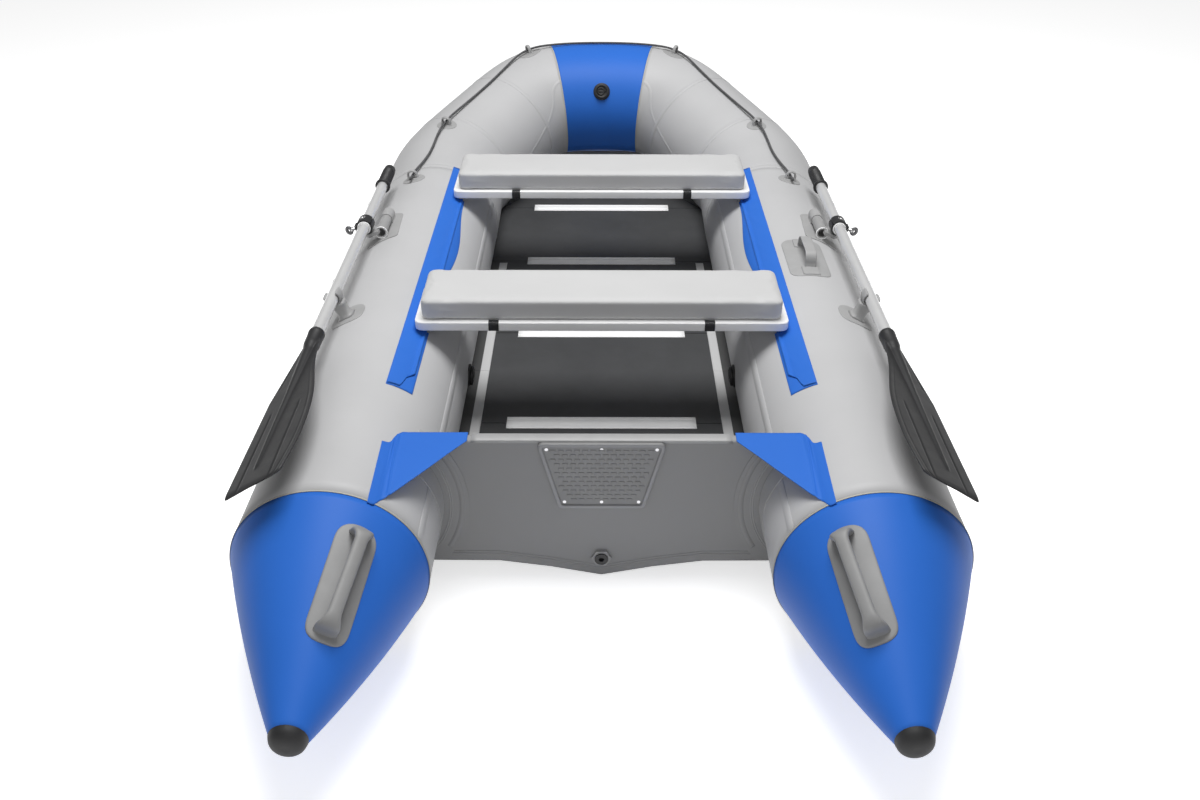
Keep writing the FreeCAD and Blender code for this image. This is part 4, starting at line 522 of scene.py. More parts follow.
ALONG_BOAT = (12.0, 1.0, 12.0)      # squeezed across, so that lines run along one direction
ACROSS_BOAT = (1.0, 12.0, 12.0)
EVEN = (1.0, 1.0, 1.0)


def anodised(name, colour, roughness=0.25, drawn=EVEN, metallic=1.0):
    """Drawn metal: fine lines along the drawing direction."""
    material, shader, add, drive = shader_tree(name)
    place = add("ShaderNodeTexCoord").outputs["Object"]
    stretch = add("ShaderNodeMapping", {"Vector": place, "Scale": drawn})
    lines = add("ShaderNodeTexNoise", {"Vector": stretch.outputs[0], "Scale": 260.0,
                                       "Detail": 3.0})
    drive("Base Color", mottled(add, place, colour, 9.0, 0.03))
    bump = add("ShaderNodeBump", {"Height": lines.outputs["Fac"], "Strength": 0.12,
                                  "Distance": 0.0001})
    drive("Normal", bump.outputs[0])
    shader.inputs["Metallic"].default_value = metallic
    shader.inputs["Roughness"].default_value = roughness
    return material


def deck_film(name, colour):
    """Phenolic film on plywood: an anti-slip print of small raised hexagonal dots."""
    material, shader, add, drive = shader_tree(name)
    place = add("ShaderNodeTexCoord").outputs["Object"]
    drive("Base Color", mottled(add, place, colour, 5.0, 0.12))
    dots = add("ShaderNodeTexVoronoi", {"Vector": place, "Scale": 260.0, "Randomness": 0.25},
               feature="F1")
    bump = add("ShaderNodeBump", {"Height": dots.outputs["Distance"], "Strength": 0.5,
                                  "Distance": 0.0005}, invert=True)
    drive("Normal", bump.outputs[0])
    wear = add("ShaderNodeTexNoise", {"Vector": place, "Scale": 12.0, "Detail": 6.0})
    sheen = add("ShaderNodeMapRange", {"Value": wear.outputs["Fac"], "To Min": 0.5,
                                       "To Max": 0.68})
    drive("Roughness", sheen.outputs[0])
    shader.inputs["Specular IOR Level"].default_value = 0.3
    return material


def painted_ply(name, colour):
    """Painted plywood: brush-smooth paint over a faint long grain."""
    material, shader, add, drive = shader_tree(name)
    place = add("ShaderNodeTexCoord").outputs["Object"]
    stretch = add("ShaderNodeMapping", {"Vector": place, "Scale": (1.0, 14.0, 14.0)})
    grain = add("ShaderNodeTexNoise", {"Vector": stretch.outputs[0], "Scale": 9.0,
                                       "Detail": 5.0})
    drive("Base Color", mottled(add, place, colour, 6.0, 0.02))
    bump = add("ShaderNodeBump", {"Height": grain.outputs["Fac"], "Strength": 0.12,
                                  "Distance": 0.0004})
    drive("Normal", bump.outputs[0])
    shader.inputs["Roughness"].default_value = 0.42
    return material


def two_greys(name, near, far, axis, middle, half):
    """One grey within half of a plane across an axis, another grey beyond it."""
    material, shader, add, drive = shader_tree(name)
    place = add("ShaderNodeTexCoord").outputs["Object"]
    along = add("ShaderNodeSeparateXYZ", {0: place})
    off = add("ShaderNodeMath", {0: along.outputs[axis], 1: middle}, operation="SUBTRACT")
    size = add("ShaderNodeMath", {0: off.outputs[0]}, operation="ABSOLUTE")
    beyond = add("ShaderNodeMath", {0: size.outputs[0], 1: half}, operation="GREATER_THAN")
    mix = add("ShaderNodeMix", {"Factor": beyond.outputs[0]}, data_type="RGBA")
    for socket, grey in (("A", near), ("B", far)):
        colour = mottled(add, place, (grey, grey, grey), 4.0, 0.02)
        slot = [i for i in mix.inputs if i.name == socket and i.type == "RGBA"][0]
        mix.id_data.links.new(colour, slot)
    drive("Base Color", [o for o in mix.outputs if o.type == "RGBA"][0])
    shader.inputs["Roughness"].default_value = 0.55
    shader.inputs["Specular IOR Level"].default_value = 0.25
    return material


def webbing(name, colour):
    """Woven strap or rope: slanted ribs."""
    material, shader, add, drive = shader_tree(name)
    place = add("ShaderNodeTexCoord").outputs["Object"]
    drive("Base Color", mottled(add, place, colour, 60.0, 0.25))
    wave = add("ShaderNodeTexWave", {"Vector": place, "Scale": 95.0, "Distortion": 0.6},
               wave_type="BANDS", bands_direction="DIAGONAL")
    bump = add("ShaderNodeBump", {"Height": wave.outputs["Fac"], "Strength": 0.7,
                                  "Distance": 0.0006})
    drive("Normal", bump.outputs[0])
    shader.inputs["Roughness"].default_value = 0.75
    return material


GREY = coated_fabric("grey_coated_fabric", (0.50, 0.50, 0.505))
EDGE_TAPE = coated_fabric("pale_seam_edge", (0.46, 0.45, 0.40))
BLUE = coated_fabric("blue_coated_fabric", (0.026, 0.150, 0.600), shine=0.2)
BOTTOM = coated_fabric("dark_bottom_fabric", (0.22, 0.225, 0.23))
TRANSOM = coated_fabric("transom_grey", (0.31, 0.31, 0.31), 0.6, shine=0.2)
COLLAR_EDGE = coated_fabric("collar_edge_grey", (0.36, 0.36, 0.36), 0.55)
CUSHION = coated_fabric("cushion_fabric", (0.55, 0.55, 0.55), 0.55, weave=0.0009)
PATCH = moulded("light_grey_patch", (0.36, 0.36, 0.36))
GRIP_GREY = moulded("stern_grip_grey", (0.27, 0.27, 0.27))
STRAKE = moulded("strake_rubber", (0.24, 0.24, 0.245), 0.55)
RUBBER = moulded("black_rubber", (0.016, 0.016, 0.017), 0.6)
BLACK = moulded("black_plastic", (0.019, 0.019, 0.020), 0.45)
GREY_PLASTIC = moulded("grey_plastic", (0.32, 0.32, 0.32), 0.45)
PAD = moulded("pad_grey", (0.25, 0.25, 0.25))
PAD_RIM = moulded("pad_rim_grey", (0.30, 0.30, 0.31), 0.4)
EDGE_STRIP = moulded("transom_top_strip", (0.36, 0.36, 0.36), 0.45)
RIM_GREY = moulded("barrel_rim_grey", (0.46, 0.46, 0.46), 0.45)
PALE_BAND = moulded("pale_band", (0.95, 0.95, 0.95))
ALUMINIUM = anodised("anodised_extrusion", (0.58, 0.58, 0.58), 0.45, ALONG_BOAT, 0.2)
PROFILE = anodised("anodised_joint_profile", (0.95, 0.95, 0.95), 0.55, ACROSS_BOAT, 0.0)
SHAFT_METAL = anodised("oar_shaft_aluminium", (0.80, 0.80, 0.80), 0.24, ALONG_BOAT, 0.45)
DARK_STEEL = anodised("wing_screw_steel", (0.16, 0.16, 0.165), 0.35, metallic=0.5)
STEEL = anodised("stainless_steel", (0.62, 0.62, 0.63))
FLOOR_FILM = deck_film("floor_film", (0.052, 0.053, 0.055))
BOARD = painted_ply("seat_board_paint", (0.92, 0.92, 0.92))
STRAP = webbing("black_webbing", (0.022, 0.022, 0.024))
ROPE = webbing("grab_line_rope", (0.085, 0.085, 0.088))


def finish_nodes(material, *nodes):
    """Gives CAD nodes that stay a better material."""
    for node in nodes:
        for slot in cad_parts[node].material_slots:
            slot.material = material


# ---------------------------------------------------------------- ropes

# Same points as the solids' routes: station, turn, angle, height of the rope's middle.
ROPE_DIAMETER = 0.008
BOW_ROPE = np.array([
    (1.655, 0.0, 14.6, 0.0140), (1.725, 0.0, 13.2, 0.0146), (1.830, 0.0, 9.0, 0.0080),
    (1.935, 0.0, 5.4, 0.0070), (2.030, 0.03, 3.0, 0.0090), (2.030, 0.085, 1.2, 0.0146),
    (2.030, 0.165, 0.2, 0.0146), (2.030, 0.26, -0.6, 0.0090), (2.030, 0.36, -0.8, 0.0070),
    (2.030, 0.46, -0.6, 0.0070), (2.030, 0.57, 0.2, 0.0080), (2.030, 0.665, 1.2, 0.0110),
    (2.030, 0.725, 2.0, 0.0146), (2.030, 0.79, 2.4, 0.0146), (2.030, 0.87, 2.8, 0.0090),
    (2.030, 0.955, 3.4, 0.0070)])
SIDE_ROPE = np.array([
    (1.735, 0.0, 61.4, 0.0140), (1.665, 0.0, 62.6, 0.0146), (1.570, 0.0, 66.0, 0.0080),
    (1.465, 0.0, 68.6, 0.0060), (1.355, 0.0, 69.0, 0.0060), (1.250, 0.0, 66.0, 0.0080),
    (1.155, 0.0, 62.8, 0.0146), (1.085, 0.0, 62.6, 0.0146), (0.985, 0.0, 66.0, 0.0080),
    (0.875, 0.0, 69.6, 0.0060), (0.765, 0.0, 71.6, 0.0060), (0.655, 0.0, 71.8, 0.0060),
    (0.550, 0.0, 70.4, 0.0070), (0.450, 0.0, 68.0, 0.0090), (0.365, 0.0, 66.4, 0.0146),
    (0.295, 0.0, 65.4, 0.0140)])


def smooth_line(name, points, diameter, material):
    """Round line through space: a third-order NURBS curve with the points as its cage."""
    curve = bpy.data.curves.new(name, "CURVE")
    curve.dimensions = "3D"
    curve.bevel_depth = diameter / 2.0
    curve.bevel_resolution = 4
    curve.use_fill_caps = True
    spline = curve.splines.new("NURBS")
    spline.points.add(len(points) - 1)
    spline.points.foreach_set("co", np.column_stack([points, np.ones(len(points))]).ravel())
    spline.order_u = 3
    spline.use_endpoint_u = True
    spline.resolution_u = 12
    curve.materials.append(material)
    piece = bpy.data.objects.new(name, curve)
    bpy.context.collection.objects.link(piece)
    return piece


def make_ropes():
    """Grab line round the bow and one along each side, tied into the end eyes."""
    starboard = on_tube(*BOW_ROPE.T)
    points = np.concatenate([starboard, mirrored(starboard[::-1])])
    bow = smooth_line("bow_rope", points, ROPE_DIAMETER, ROPE)
    fit(bow, "hull", "black_rope", "bow_grab_line")
    side = on_tube(*SIDE_ROPE.T)
    for label, sign in SIDES:
        route = side if sign > 0 else mirrored(side)
        line = smooth_line(f"{label}_side_rope", route, ROPE_DIAMETER, ROPE)
        fit(line, "hull", "black_rope", *both_sides("side_grab_lines", sign))
        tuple(route[0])


# ---------------------------------------------------------------- air tubes

def tube_grid(station, turn):
    """Rings round the axis: rows are places on it, columns are angles."""
    angle = np.linspace(0.0, 360.0, 96, endpoint=False)[None]
    station, turn = np.asarray(station)[:, None], np.asarray(turn)[:, None]
    return on_tube(station + 0 * angle, turn + 0 * angle, angle + 0 * station, 0.0)


def side_tube(name, sign):
    """Straight tube from the cone seam to the bow tube."""
    station = np.linspace(0.0, SIDE_TUBE_LENGTH, 46)
    points = tube_grid(station, np.zeros_like(station))
    return grid_piece(name, points, GREY, wrap=True, ends=True, sign=sign)


def bow_tube(name, sign):
    """Tube that curves in and rises from the side tube to the bow centre tube."""
    straight = np.linspace(SIDE_TUBE_LENGTH, CURVE_START, 8)
    turn = np.linspace(0.0, CENTRE_SEAM_TURN, 60)[1:]
    station = np.concatenate([straight, np.full_like(turn, CURVE_START)])
    points = tube_grid(station, np.concatenate([np.zeros_like(straight), turn]))
    return grid_piece(name, points, GREY, wrap=True, ends=True, sign=sign)


def make_bow_centre():
    """Blue tube across the bow: starboard rings, then their port twins in turn."""
    turn = np.linspace(CENTRE_SEAM_TURN, 1.0, 16)
    starboard = tube_grid(np.full_like(turn, CURVE_START), turn)
    points = np.concatenate([starboard, mirrored(starboard[:-1][::-1])])
    piece = grid_piece("bow_centre", points, BLUE, wrap=True, ends=True)
    fit(piece, "hull", "blue_fabric", "bow_centre_tube")


def cone_place(behind):
    """Middle and radius of the stern cone at distances behind the seam.

    The middle moves inboard in proportion; the radius tapers straight plus a parabola of bulge.
    """
    share = np.asarray(behind, float) / CONE_LENGTH
    middle = np.stack([HALF_SPACING - CONE_TOE_IN * share, SEAM_Y - share * CONE_LENGTH,
                       np.full_like(share, AXIS_HEIGHT)], -1)
    radius = TUBE_RADIUS + (CONE_TIP_RADIUS - TUBE_RADIUS) * share
    return middle, radius + 4.0 * CONE_BULGE * share * (1.0 - share)


def cone_point(behind, angle, height=0.0):
    """Points over the cone at distances behind the seam and angles from its top."""
    middle, radius = cone_place(behind)
    angle = np.radians(np.asarray(angle, float))
    spoke = np.stack([np.sin(angle), np.zeros_like(angle), np.cos(angle)], -1)
    return middle + (radius + height)[..., None] * spoke


def stern_cone(name, sign):
    """Tapered end of the side tube."""
    behind = np.linspace(0.0, CONE_LENGTH, 30)
    angle = np.linspace(0.0, 360.0, 96, endpoint=False)
    points = cone_point(behind[:, None] + 0 * angle, angle + 0 * behind[:, None])
    return grid_piece(name, points, BLUE, wrap=True, ends=True, sign=sign)


def make_tubes():
    """All air tubes and cones in place of the plain shells."""
    for label, sign in SIDES:
        fit(side_tube(f"{label}_side", sign), "hull", "grey_fabric", f"{label}_side_tube")
        fit(bow_tube(f"{label}_bow", sign), "hull", "grey_fabric", f"{label}_bow_tube")
        cone = stern_cone(f"{label}_cone", sign)
        fit(cone, "hull", "blue_fabric", *both_sides("stern_cones", sign))
    make_bow_centre()


# ---------------------------------------------------------------- seams

SEAM_SECTION = np.array([(-1.0, -0.0004), (1.0, -0.0004), (1.0, 0.0005), (0.96, 0.0008),
                         (-0.96, 0.0008), (-1.0, 0.0005)])
INNER_SEAM_ANGLES = {"starboard": -60.0, "port": -68.0}
OUTER_SEAM_ANGLE = 80.0
PANEL_SEAM_TURNS = (0.18, 0.5)
GORE_SEAM_START = 0.30
GORE_SEAM_ANGLES = (-92.0, -52.0)
BOTTOM_TAPE_ANGLE = 143.5
BOTTOM_TAPE_END = 0.90
OVERLAP_HALF, PANEL_SEAM_HALF, GORE_SEAM_HALF, EDGE_HALF = 0.014, 0.008, 0.006, 0.0022
LONG_SEAM_HALF, BOTTOM_TAPE_HALF = 0.010, 0.020


def seam_profile(half_width, lift=1.0):
    """Flat tape section whose long sides have a small chamfer."""
    return SEAM_SECTION * np.array([half_width, lift])


def ring_seam(name, station, turn, half_width, material, sign):
    """Tape round the tube at one place on its axis."""
    angle = np.linspace(0.0, 360.0, 128, endpoint=False)
    path = on_tube(station + 0 * angle, turn + 0 * angle, angle, 0 * angle)
    seam = swept(name, path, path - axis_frames(station, turn)[0], seam_profile(half_width),
                 material, loop=True, sign=sign)
    fit(seam, "hull", "grey_fabric")


def run_seam(name, station, turn, angle, half_width, material, sign, lift=1.0,
             slot="grey_fabric"):
    """Tape along the tube through stations, turns and angles."""
    path = on_tube(station, turn, angle, 0 * angle)
    away = on_tube(station, turn, angle, 0 * angle + 0.01) - path
    seam = swept(name, path, away, seam_profile(half_width, lift), material, sign=sign)
    fit(seam, "hull", slot)


def make_seams():
    """Overlaps between fabric panels, the pale edges where grey meets blue, the bottom's tape."""
    for label, sign in SIDES:
        along = np.linspace(0.004, SIDE_TUBE_LENGTH - 0.004, 60)
        ring_seam(f"{label}_bow_seam", SIDE_TUBE_LENGTH, 0.0, OVERLAP_HALF, GREY, sign)
        for part, angle in (("inner_seam", INNER_SEAM_ANGLES[label]),
                            ("outer_seam", OUTER_SEAM_ANGLE)):
            run_seam(f"{label}_{part}", along, 0 * along, angle + 0 * along, LONG_SEAM_HALF, GREY,
                     sign)
        for i, turn in enumerate(PANEL_SEAM_TURNS):
            ring_seam(f"{label}_panel_seam_{i + 1}", CURVE_START, turn, PANEL_SEAM_HALF, GREY,
                      sign)
        ring_seam(f"{label}_centre_edge", CURVE_START, CENTRE_SEAM_TURN, EDGE_HALF, EDGE_TAPE,
                  sign)
        ring_seam(f"{label}_cone_edge", 0.0, 0.0, EDGE_HALF, EDGE_TAPE, sign)
        turn = np.linspace(GORE_SEAM_START, CENTRE_SEAM_TURN, 40)
        run_seam(f"{label}_gore_seam", CURVE_START + 0 * turn, turn,
                 np.linspace(*GORE_SEAM_ANGLES, 40), GORE_SEAM_HALF, GREY, sign, lift=0.4)
        station = np.concatenate([np.linspace(0.0, CURVE_START, 60), np.full(50, CURVE_START)])
        turn = np.concatenate([np.zeros(60), np.linspace(0.0, BOTTOM_TAPE_END, 51)[1:]])
        run_seam(f"{label}_bottom_tape", station, turn, BOTTOM_TAPE_ANGLE + 0 * turn,
                 BOTTOM_TAPE_HALF, BOTTOM, sign, slot="bottom_fabric")


# ---------------------------------------------------------------- rubbing strakes

STRAKE_ANGLE = 104.0
STRAKE_PROUD = 0.022
STRAKE_RUN_OUT = 0.05      # over which its stern end rises
STRAKE_END_SHARE = 0.35    # of its width, at the very end
STRAKE_SECTION = np.array([
    (-7.0, -0.0010), (-6.9, 0.0040), (-5.6, 0.0100), (-4.3, 0.0190), (-3.5, STRAKE_PROUD),
    (-2.2, STRAKE_PROUD), (-1.7, 0.0200), (-1.2, STRAKE_PROUD), (1.2, STRAKE_PROUD),
    (1.7, 0.0200), (2.2, STRAKE_PROUD), (3.5, STRAKE_PROUD), (4.3, 0.0190), (5.6, 0.0100),
    (6.9, 0.0040), (7.0, -0.0010)])


def make_strakes():
    """Extruded rubber along each side: angle offsets and heights carried along the tube.

    At the stern its height grows with the root of the distance, and its width with it.
    """
    for label, sign in SIDES:
        station = np.concatenate([np.linspace(0.0, CURVE_START, 120), np.full(90, CURVE_START)])
        turn = np.concatenate([np.zeros(120), np.linspace(0.0, 1.0, 91)[1:]])
        offset, height = STRAKE_SECTION.T
        fade = np.clip((station + 0.004) / STRAKE_RUN_OUT, 0.0, 1.0)[:, None] ** 0.5
        width = STRAKE_END_SHARE + (1.0 - STRAKE_END_SHARE) * fade
        points = on_tube(station[:, None] + 0 * offset, turn[:, None] + 0 * offset,
                         STRAKE_ANGLE + offset * width, np.where(height > 0, height * fade, height))
        strake = grid_piece(f"{label}_strake", points, STRAKE, wrap=True, ends=True, sign=sign)
        fit(strake, "hull", "dark_trim", *both_sides("rubbing_strakes", sign))


# ---------------------------------------------------------------- seat rails

RAIL_AFT = 0.400
RAIL_BOW = SIDE_TUBE_LENGTH + 0.015
RAIL_BASE = np.array([(-18.6, 0.0002), (-37.0, 0.0002), (-37.0, 0.0010), (-36.7, 0.0015),
                      (-19.0, 0.0015), (-18.6, 0.0010)])
RAIL_FLAP = np.array([(-18.9, 0.0013), (-34.6, 0.0013), (-35.0, 0.0022), (-35.0, 0.0040),
                      (-34.8, 0.0062), (-34.4, 0.0069), (-33.8, 0.0070), (-33.3, 0.0064),
                      (-33.0, 0.0048), (-32.7, 0.0034), (-32.2, 0.0028), (-26.0, 0.0027),
                      (-19.4, 0.0027), (-18.9, 0.0022)])
# Where the upper flap ends at each angle: square outside, cut back towards its bead.
FLAP_END_ANGLES = (-35.2, -31.3, -27.7, -18.0)
FLAP_STERN = (0.502, 0.492, 0.428, 0.426)
FLAP_BOW = (1.792, 1.790, 1.812, 1.806)
BASE_STERN = RAIL_AFT + 0.022
BASE_FLARE = 6.0           # degrees that the base hangs further down between the seats
FLARE_AFT, FLARE_LENGTH = 0.92, 0.62
RIPPLE = 0.00035


def finer(section, step):
    """The same closed section with points no further apart than a step along its first value."""
    ends = np.roll(section, -1, axis=0)
    counts = np.maximum(np.ceil(np.abs(ends - section)[:, 0] / step), 1).astype(int)
    return np.concatenate([a + (b - a) * np.linspace(0.0, 1.0, n, endpoint=False)[:, None]
                           for a, b, n in zip(section, ends, counts)])


def rail_part(name, section, aft, bow, sign, flare=0.0):
    """Strip glued along the tube: angles and heights over it, between two cut ends.

    Its inner edge may hang further down between the seats, by a raised cosine of degrees, and its
    face ripples by a product of two sines.
    """
    angle, height = finer(section, 1.5).T
    share = np.linspace(0.0, 1.0, 140)[:, None]
    start, end = (np.interp(angle, FLAP_END_ANGLES, np.broadcast_to(cut, 4)) for cut in (aft, bow))
    station = start + (end - start) * share
    between = np.clip((station - FLARE_AFT) / FLARE_LENGTH, 0.0, 1.0)
    edge = np.where(angle < -36.5, flare * (0.5 - 0.5 * np.cos(2.0 * math.pi * between)), 0.0)
    ripple = RIPPLE * np.sin(47.0 * station + 0.5 * angle) * np.sin(19.0 * station)
    ripple = np.where(height > 0.0012, np.maximum(ripple, 0.0), 0.0)
    points = on_tube(station, 0 * station, angle - edge, height + ripple)
    return grid_piece(name, points, BLUE, wrap=True, ends=True, sign=sign)


def make_rails():
    """Blue double flaps on the tubes, whose beads hold the seats' slides."""
    for label, sign in SIDES:
        base = rail_part(f"{label}_rail_base", RAIL_BASE, BASE_STERN, RAIL_BOW, sign, BASE_FLARE)
        flap = rail_part(f"{label}_rail_flap", RAIL_FLAP, FLAP_STERN, FLAP_BOW, sign)
        fit(base, "hull", "blue_fabric")
        fit(flap, "hull", "blue_fabric", *both_sides("seat_rails", sign))


# ---------------------------------------------------------------- transom corners

TRANSOM_LOW, TRANSOM_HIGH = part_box("transom_board")
TRANSOM_MIDDLE = (TRANSOM_LOW[1] + TRANSOM_HIGH[1]) / 2.0
TRANSOM_HALF = (TRANSOM_HIGH[1] - TRANSOM_LOW[1]) / 2.0
WEB_HEIGHT = TRANSOM_HIGH[2] + 0.0018
WEB_OVER_TUBE = 0.0010
WEB_TUBE_X = 0.4475        # where its bow edge leaves the board
FRONT_Y = TRANSOM_HIGH[1] + 0.003
AFT_Y = TRANSOM_LOW[1]


def web_edges():
    """Bow edge and free edge of the starboard web, from over the transom out to the tube."""
    def tube(station, angle):
        return tuple(on_tube(station, 0.0, angle, 0.0012))

    bow = [(0.2985, FRONT_Y, WEB_HEIGHT), (0.345, FRONT_Y, WEB_HEIGHT),
           (0.395, FRONT_Y, WEB_HEIGHT), (0.430, FRONT_Y, WEB_HEIGHT),
           (WEB_TUBE_X, FRONT_Y - 0.001, WEB_HEIGHT), tube(0.240, -33.4), tube(0.212, -31.2),
           tube(0.205, -26.6)]
    free = [(0.2985, AFT_Y - 0.002, WEB_HEIGHT), (0.3375, SEAM_Y + 0.1770, WEB_HEIGHT - 0.0004),
            (0.3720, SEAM_Y + 0.1275, WEB_HEIGHT - 0.0006),
            (0.4035, SEAM_Y + 0.0835, WEB_HEIGHT - 0.0006),
            (0.4345, SEAM_Y + 0.0395, WEB_HEIGHT - 0.0002),
            tube(0.018, -35.4), tube(-0.004, -32.2), tube(-0.006, -28.2)]
    return np.array(bow), np.array(free)


def make_gussets():
    """Fabric webs: straight threads between the two edges, lifted to lie on the tube.

    Two Gaussian folds rise near the bow edge and die away with the distance from it, and one
    slanted crease runs right across.
    """
    bow, free = web_edges()
    first, last = through(bow, 90), through(free, 90)
    share = np.linspace(0.0, 1.0, 30)[None, :, None]
    points = first[:, None] * (1.0 - share) + last[:, None] * share
    across = np.linspace(0.0, 1.0, 90)[:, None]
    slack = share[..., 0] ** 0.5 * np.exp(-5.0 * share[..., 0])
    folds = 0.012 * swelling(across - 0.62, 0.035) + 0.009 * swelling(across - 0.74, 0.030)
    crease = 0.0016 * swelling(across - 0.66 + 0.05 * share[..., 0], 0.018)
    points[..., 2] += folds * slack + crease
    over_board = (points[..., 1] > AFT_Y - 0.001) & (points[..., 0] < WEB_TUBE_X)
    points[..., 2] = np.where(over_board, np.maximum(points[..., 2], WEB_HEIGHT), points[..., 2])
    aside = points[..., 0] - HALF_SPACING
    reach = TUBE_RADIUS + WEB_OVER_TUBE
    over = AXIS_HEIGHT + np.sqrt(np.maximum(reach ** 2 - aside ** 2, 0.0))
    points[..., 2] = np.maximum(points[..., 2], over)
    for label, sign in SIDES:
        web = grid_piece(f"{label}_transom_web", points, BLUE, sign=sign, thick=0.0012)
        fit(web, "hull", "blue_fabric", *both_sides("transom_gussets", sign))


# ---------------------------------------------------------------- transom

PAD_TOP_HALF = 0.145
PAD_BOTTOM_HALF = 0.098
PAD_HEIGHT = 0.181
STRIP_HALF = 0.290
STRIP_SIDE = 0.0012        # thickness on the board's faces
SKIN_CORNER = (0.232, 0.0, -147.4, 0.0015)       # where the bottom skin meets the tube
SKIN_KNUCKLES = ((0.0, 0.265, 0.527, 1.0), (0.0, 0.57, 0.97, 1.0))
# Each collar step: reach over the tube, half width, last angle, finish.
COLLAR_STEPS = ((0.0165, 0.0016, -131.0, COLLAR_EDGE), (0.0215, 0.0012, -130.0, COLLAR_EDGE),
                (0.0440, 0.0060, -122.0, TRANSOM))


def transom_bottom(across):
    """Height of the transom's lower edge: straight runs between the skin's knuckles."""
    edge = on_tube(*SKIN_CORNER)
    low = TRANSOM_LOW[2]
    rise = edge[2] - (low - SKIN_CORNER[3])
    return low + rise * np.interp(np.abs(across) / edge[0], *SKIN_KNUCKLES)


def make_transom_trim():
    """Top strip and bottom tapes along the board, and the collars' stepped edges.

    The steps are arcs about the tube's axis, each further out than the last.
    """
    side, brim = TRANSOM_HALF + STRIP_SIDE, TRANSOM_HALF - 0.001
    section = np.array([(-side, -0.006), (side, -0.006), (side, 0.0), (brim, 0.0016),
                        (-brim, 0.0016), (-side, 0.0)])
    path = np.stack([np.linspace(-STRIP_HALF, STRIP_HALF, 40), np.full(40, TRANSOM_MIDDLE),
                     np.full(40, TRANSOM_HIGH[2])], -1)
    strip = swept("transom_top_strip", path, UP, section, EDGE_STRIP)
    fit(strip, "hull", "transom_grey")
    across = np.linspace(-0.40, 0.40, 120)
    for i, lift in enumerate((0.019, 0.026)):
        path = np.stack([across, 0 * across + AFT_Y, transom_bottom(across) + lift], -1)
        tape = swept(f"transom_bottom_tape_{i + 1}", path, -FORWARD, seam_profile(0.0032),
                     TRANSOM)
        fit(tape, "hull", "transom_grey")
    for label, sign in SIDES:
        for i, (reach, half, last, finish) in enumerate(COLLAR_STEPS):
            angle = np.radians(np.linspace(-44.0 - 4.0 * i, last, 60))
            radius = TUBE_RADIUS + reach
            path = np.stack([HALF_SPACING + radius * np.sin(angle), 0 * angle + AFT_Y - 0.0018,
                             AXIS_HEIGHT + radius * np.cos(angle)], -1)
            tape = swept(f"{label}_collar_edge_{i + 1}", path, -FORWARD, seam_profile(half),
                         finish, sign=sign)
            fit(tape, "hull", "transom_grey")


def pad_half_width(depth):
    """Half width of the motor pad at a depth under its top edge."""
    return PAD_TOP_HALF - (PAD_TOP_HALF - PAD_BOTTOM_HALF) * depth / PAD_HEIGHT


DASH_PITCH = (0.0182, 0.0124)
DASH_HALF = (0.0070, 0.0030)
DASH_RISE = 0.0014
DASH_MARGIN = 0.016
SQUARE = np.array([(-1.0, -1.0), (1.0, -1.0), (1.0, 1.0), (-1.0, 1.0)])
BOX_FACES = np.array([(4, 5, 6, 7), (0, 1, 5, 4), (1, 2, 6, 5), (2, 3, 7, 6), (3, 0, 4, 7),
                      (3, 2, 1, 0)])


def make_pad_trim():
    """Rows of short raised dashes on the outer motor pad, and its light rim.

    A dash is a foot and a smaller top rectangle about a point of a staggered grid, kept where it
    fits inside the pad's slanted sides.  The rim's section runs round the pad's rounded outline.
    """
    low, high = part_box("motor_pad_outer")
    face, top = low[1], high[2]
    pitch_x, pitch_z = DASH_PITCH
    half_x, half_z = DASH_HALF
    depth = np.arange(0.020, PAD_HEIGHT - DASH_MARGIN, pitch_z)
    x, d = (a.ravel() for a in np.meshgrid(np.arange(-6, 7) * pitch_x, depth))
    x = x + 0.5 * pitch_x * (np.round((d - depth[0]) / pitch_z) % 2)
    inside = np.abs(x) + half_x < pad_half_width(d) - DASH_MARGIN
    x, d = x[inside], d[inside]
    rectangles = []
    for scale, y in ((1.0, face + 0.0022), (0.72, face + 0.0020 - DASH_RISE)):
        rectangles.append(np.stack([x[:, None] + half_x * scale * SQUARE[:, 0],
                                    np.full((len(x), 4), y),
                                    (top - d)[:, None] + half_z * scale * SQUARE[:, 1]], -1))
    vertices = np.concatenate(rectangles, axis=1).reshape(-1, 3)
    faces = (np.arange(len(x))[:, None, None] * 8 + BOX_FACES).reshape(-1, 4)
    dashes = make_object("motor_pad_dashes", vertices, [faces], PAD, smooth=False)
    fit(dashes, "hull", "motor_pad")
    corners = [(-PAD_TOP_HALF, 0.0), (-PAD_BOTTOM_HALF, -PAD_HEIGHT),
               (PAD_BOTTOM_HALF, -PAD_HEIGHT), (PAD_TOP_HALF, 0.0)]
    line = inset_line(evenly(rounded_polygon(corners, 0.014), 160, closed=True), 0.0045)
    path = np.stack([line[:, 0], np.full(len(line), face - 0.0002), top + line[:, 1]], -1)
    section = np.array([(-0.0042, -0.001), (0.0042, -0.001), (0.0042, 0.0003),
                        (0.0030, 0.0012), (-0.0030, 0.0012), (-0.0042, 0.0003)])
    rim = swept("motor_pad_rim", path, -FORWARD, section, PAD_RIM, loop=True)
    fit(rim, "hull", "motor_pad")


# ---------------------------------------------------------------- floor trim

JOINT_STATIONS = (0.683, 1.174, 1.679, 2.142)
JOINT_HALF = 0.027
GROOVE = 0.0008
STRINGER_RUNS = ((0.322, 0.949), (0.950, 1.660))
STRINGER_FLANGE = 0.058
STRINGER_LIT = 0.026       # width of its top kept at the aluminium grey beside the floor; beyond it the top is painted near black, a painted shade under the tube
BEAD = 0.0012


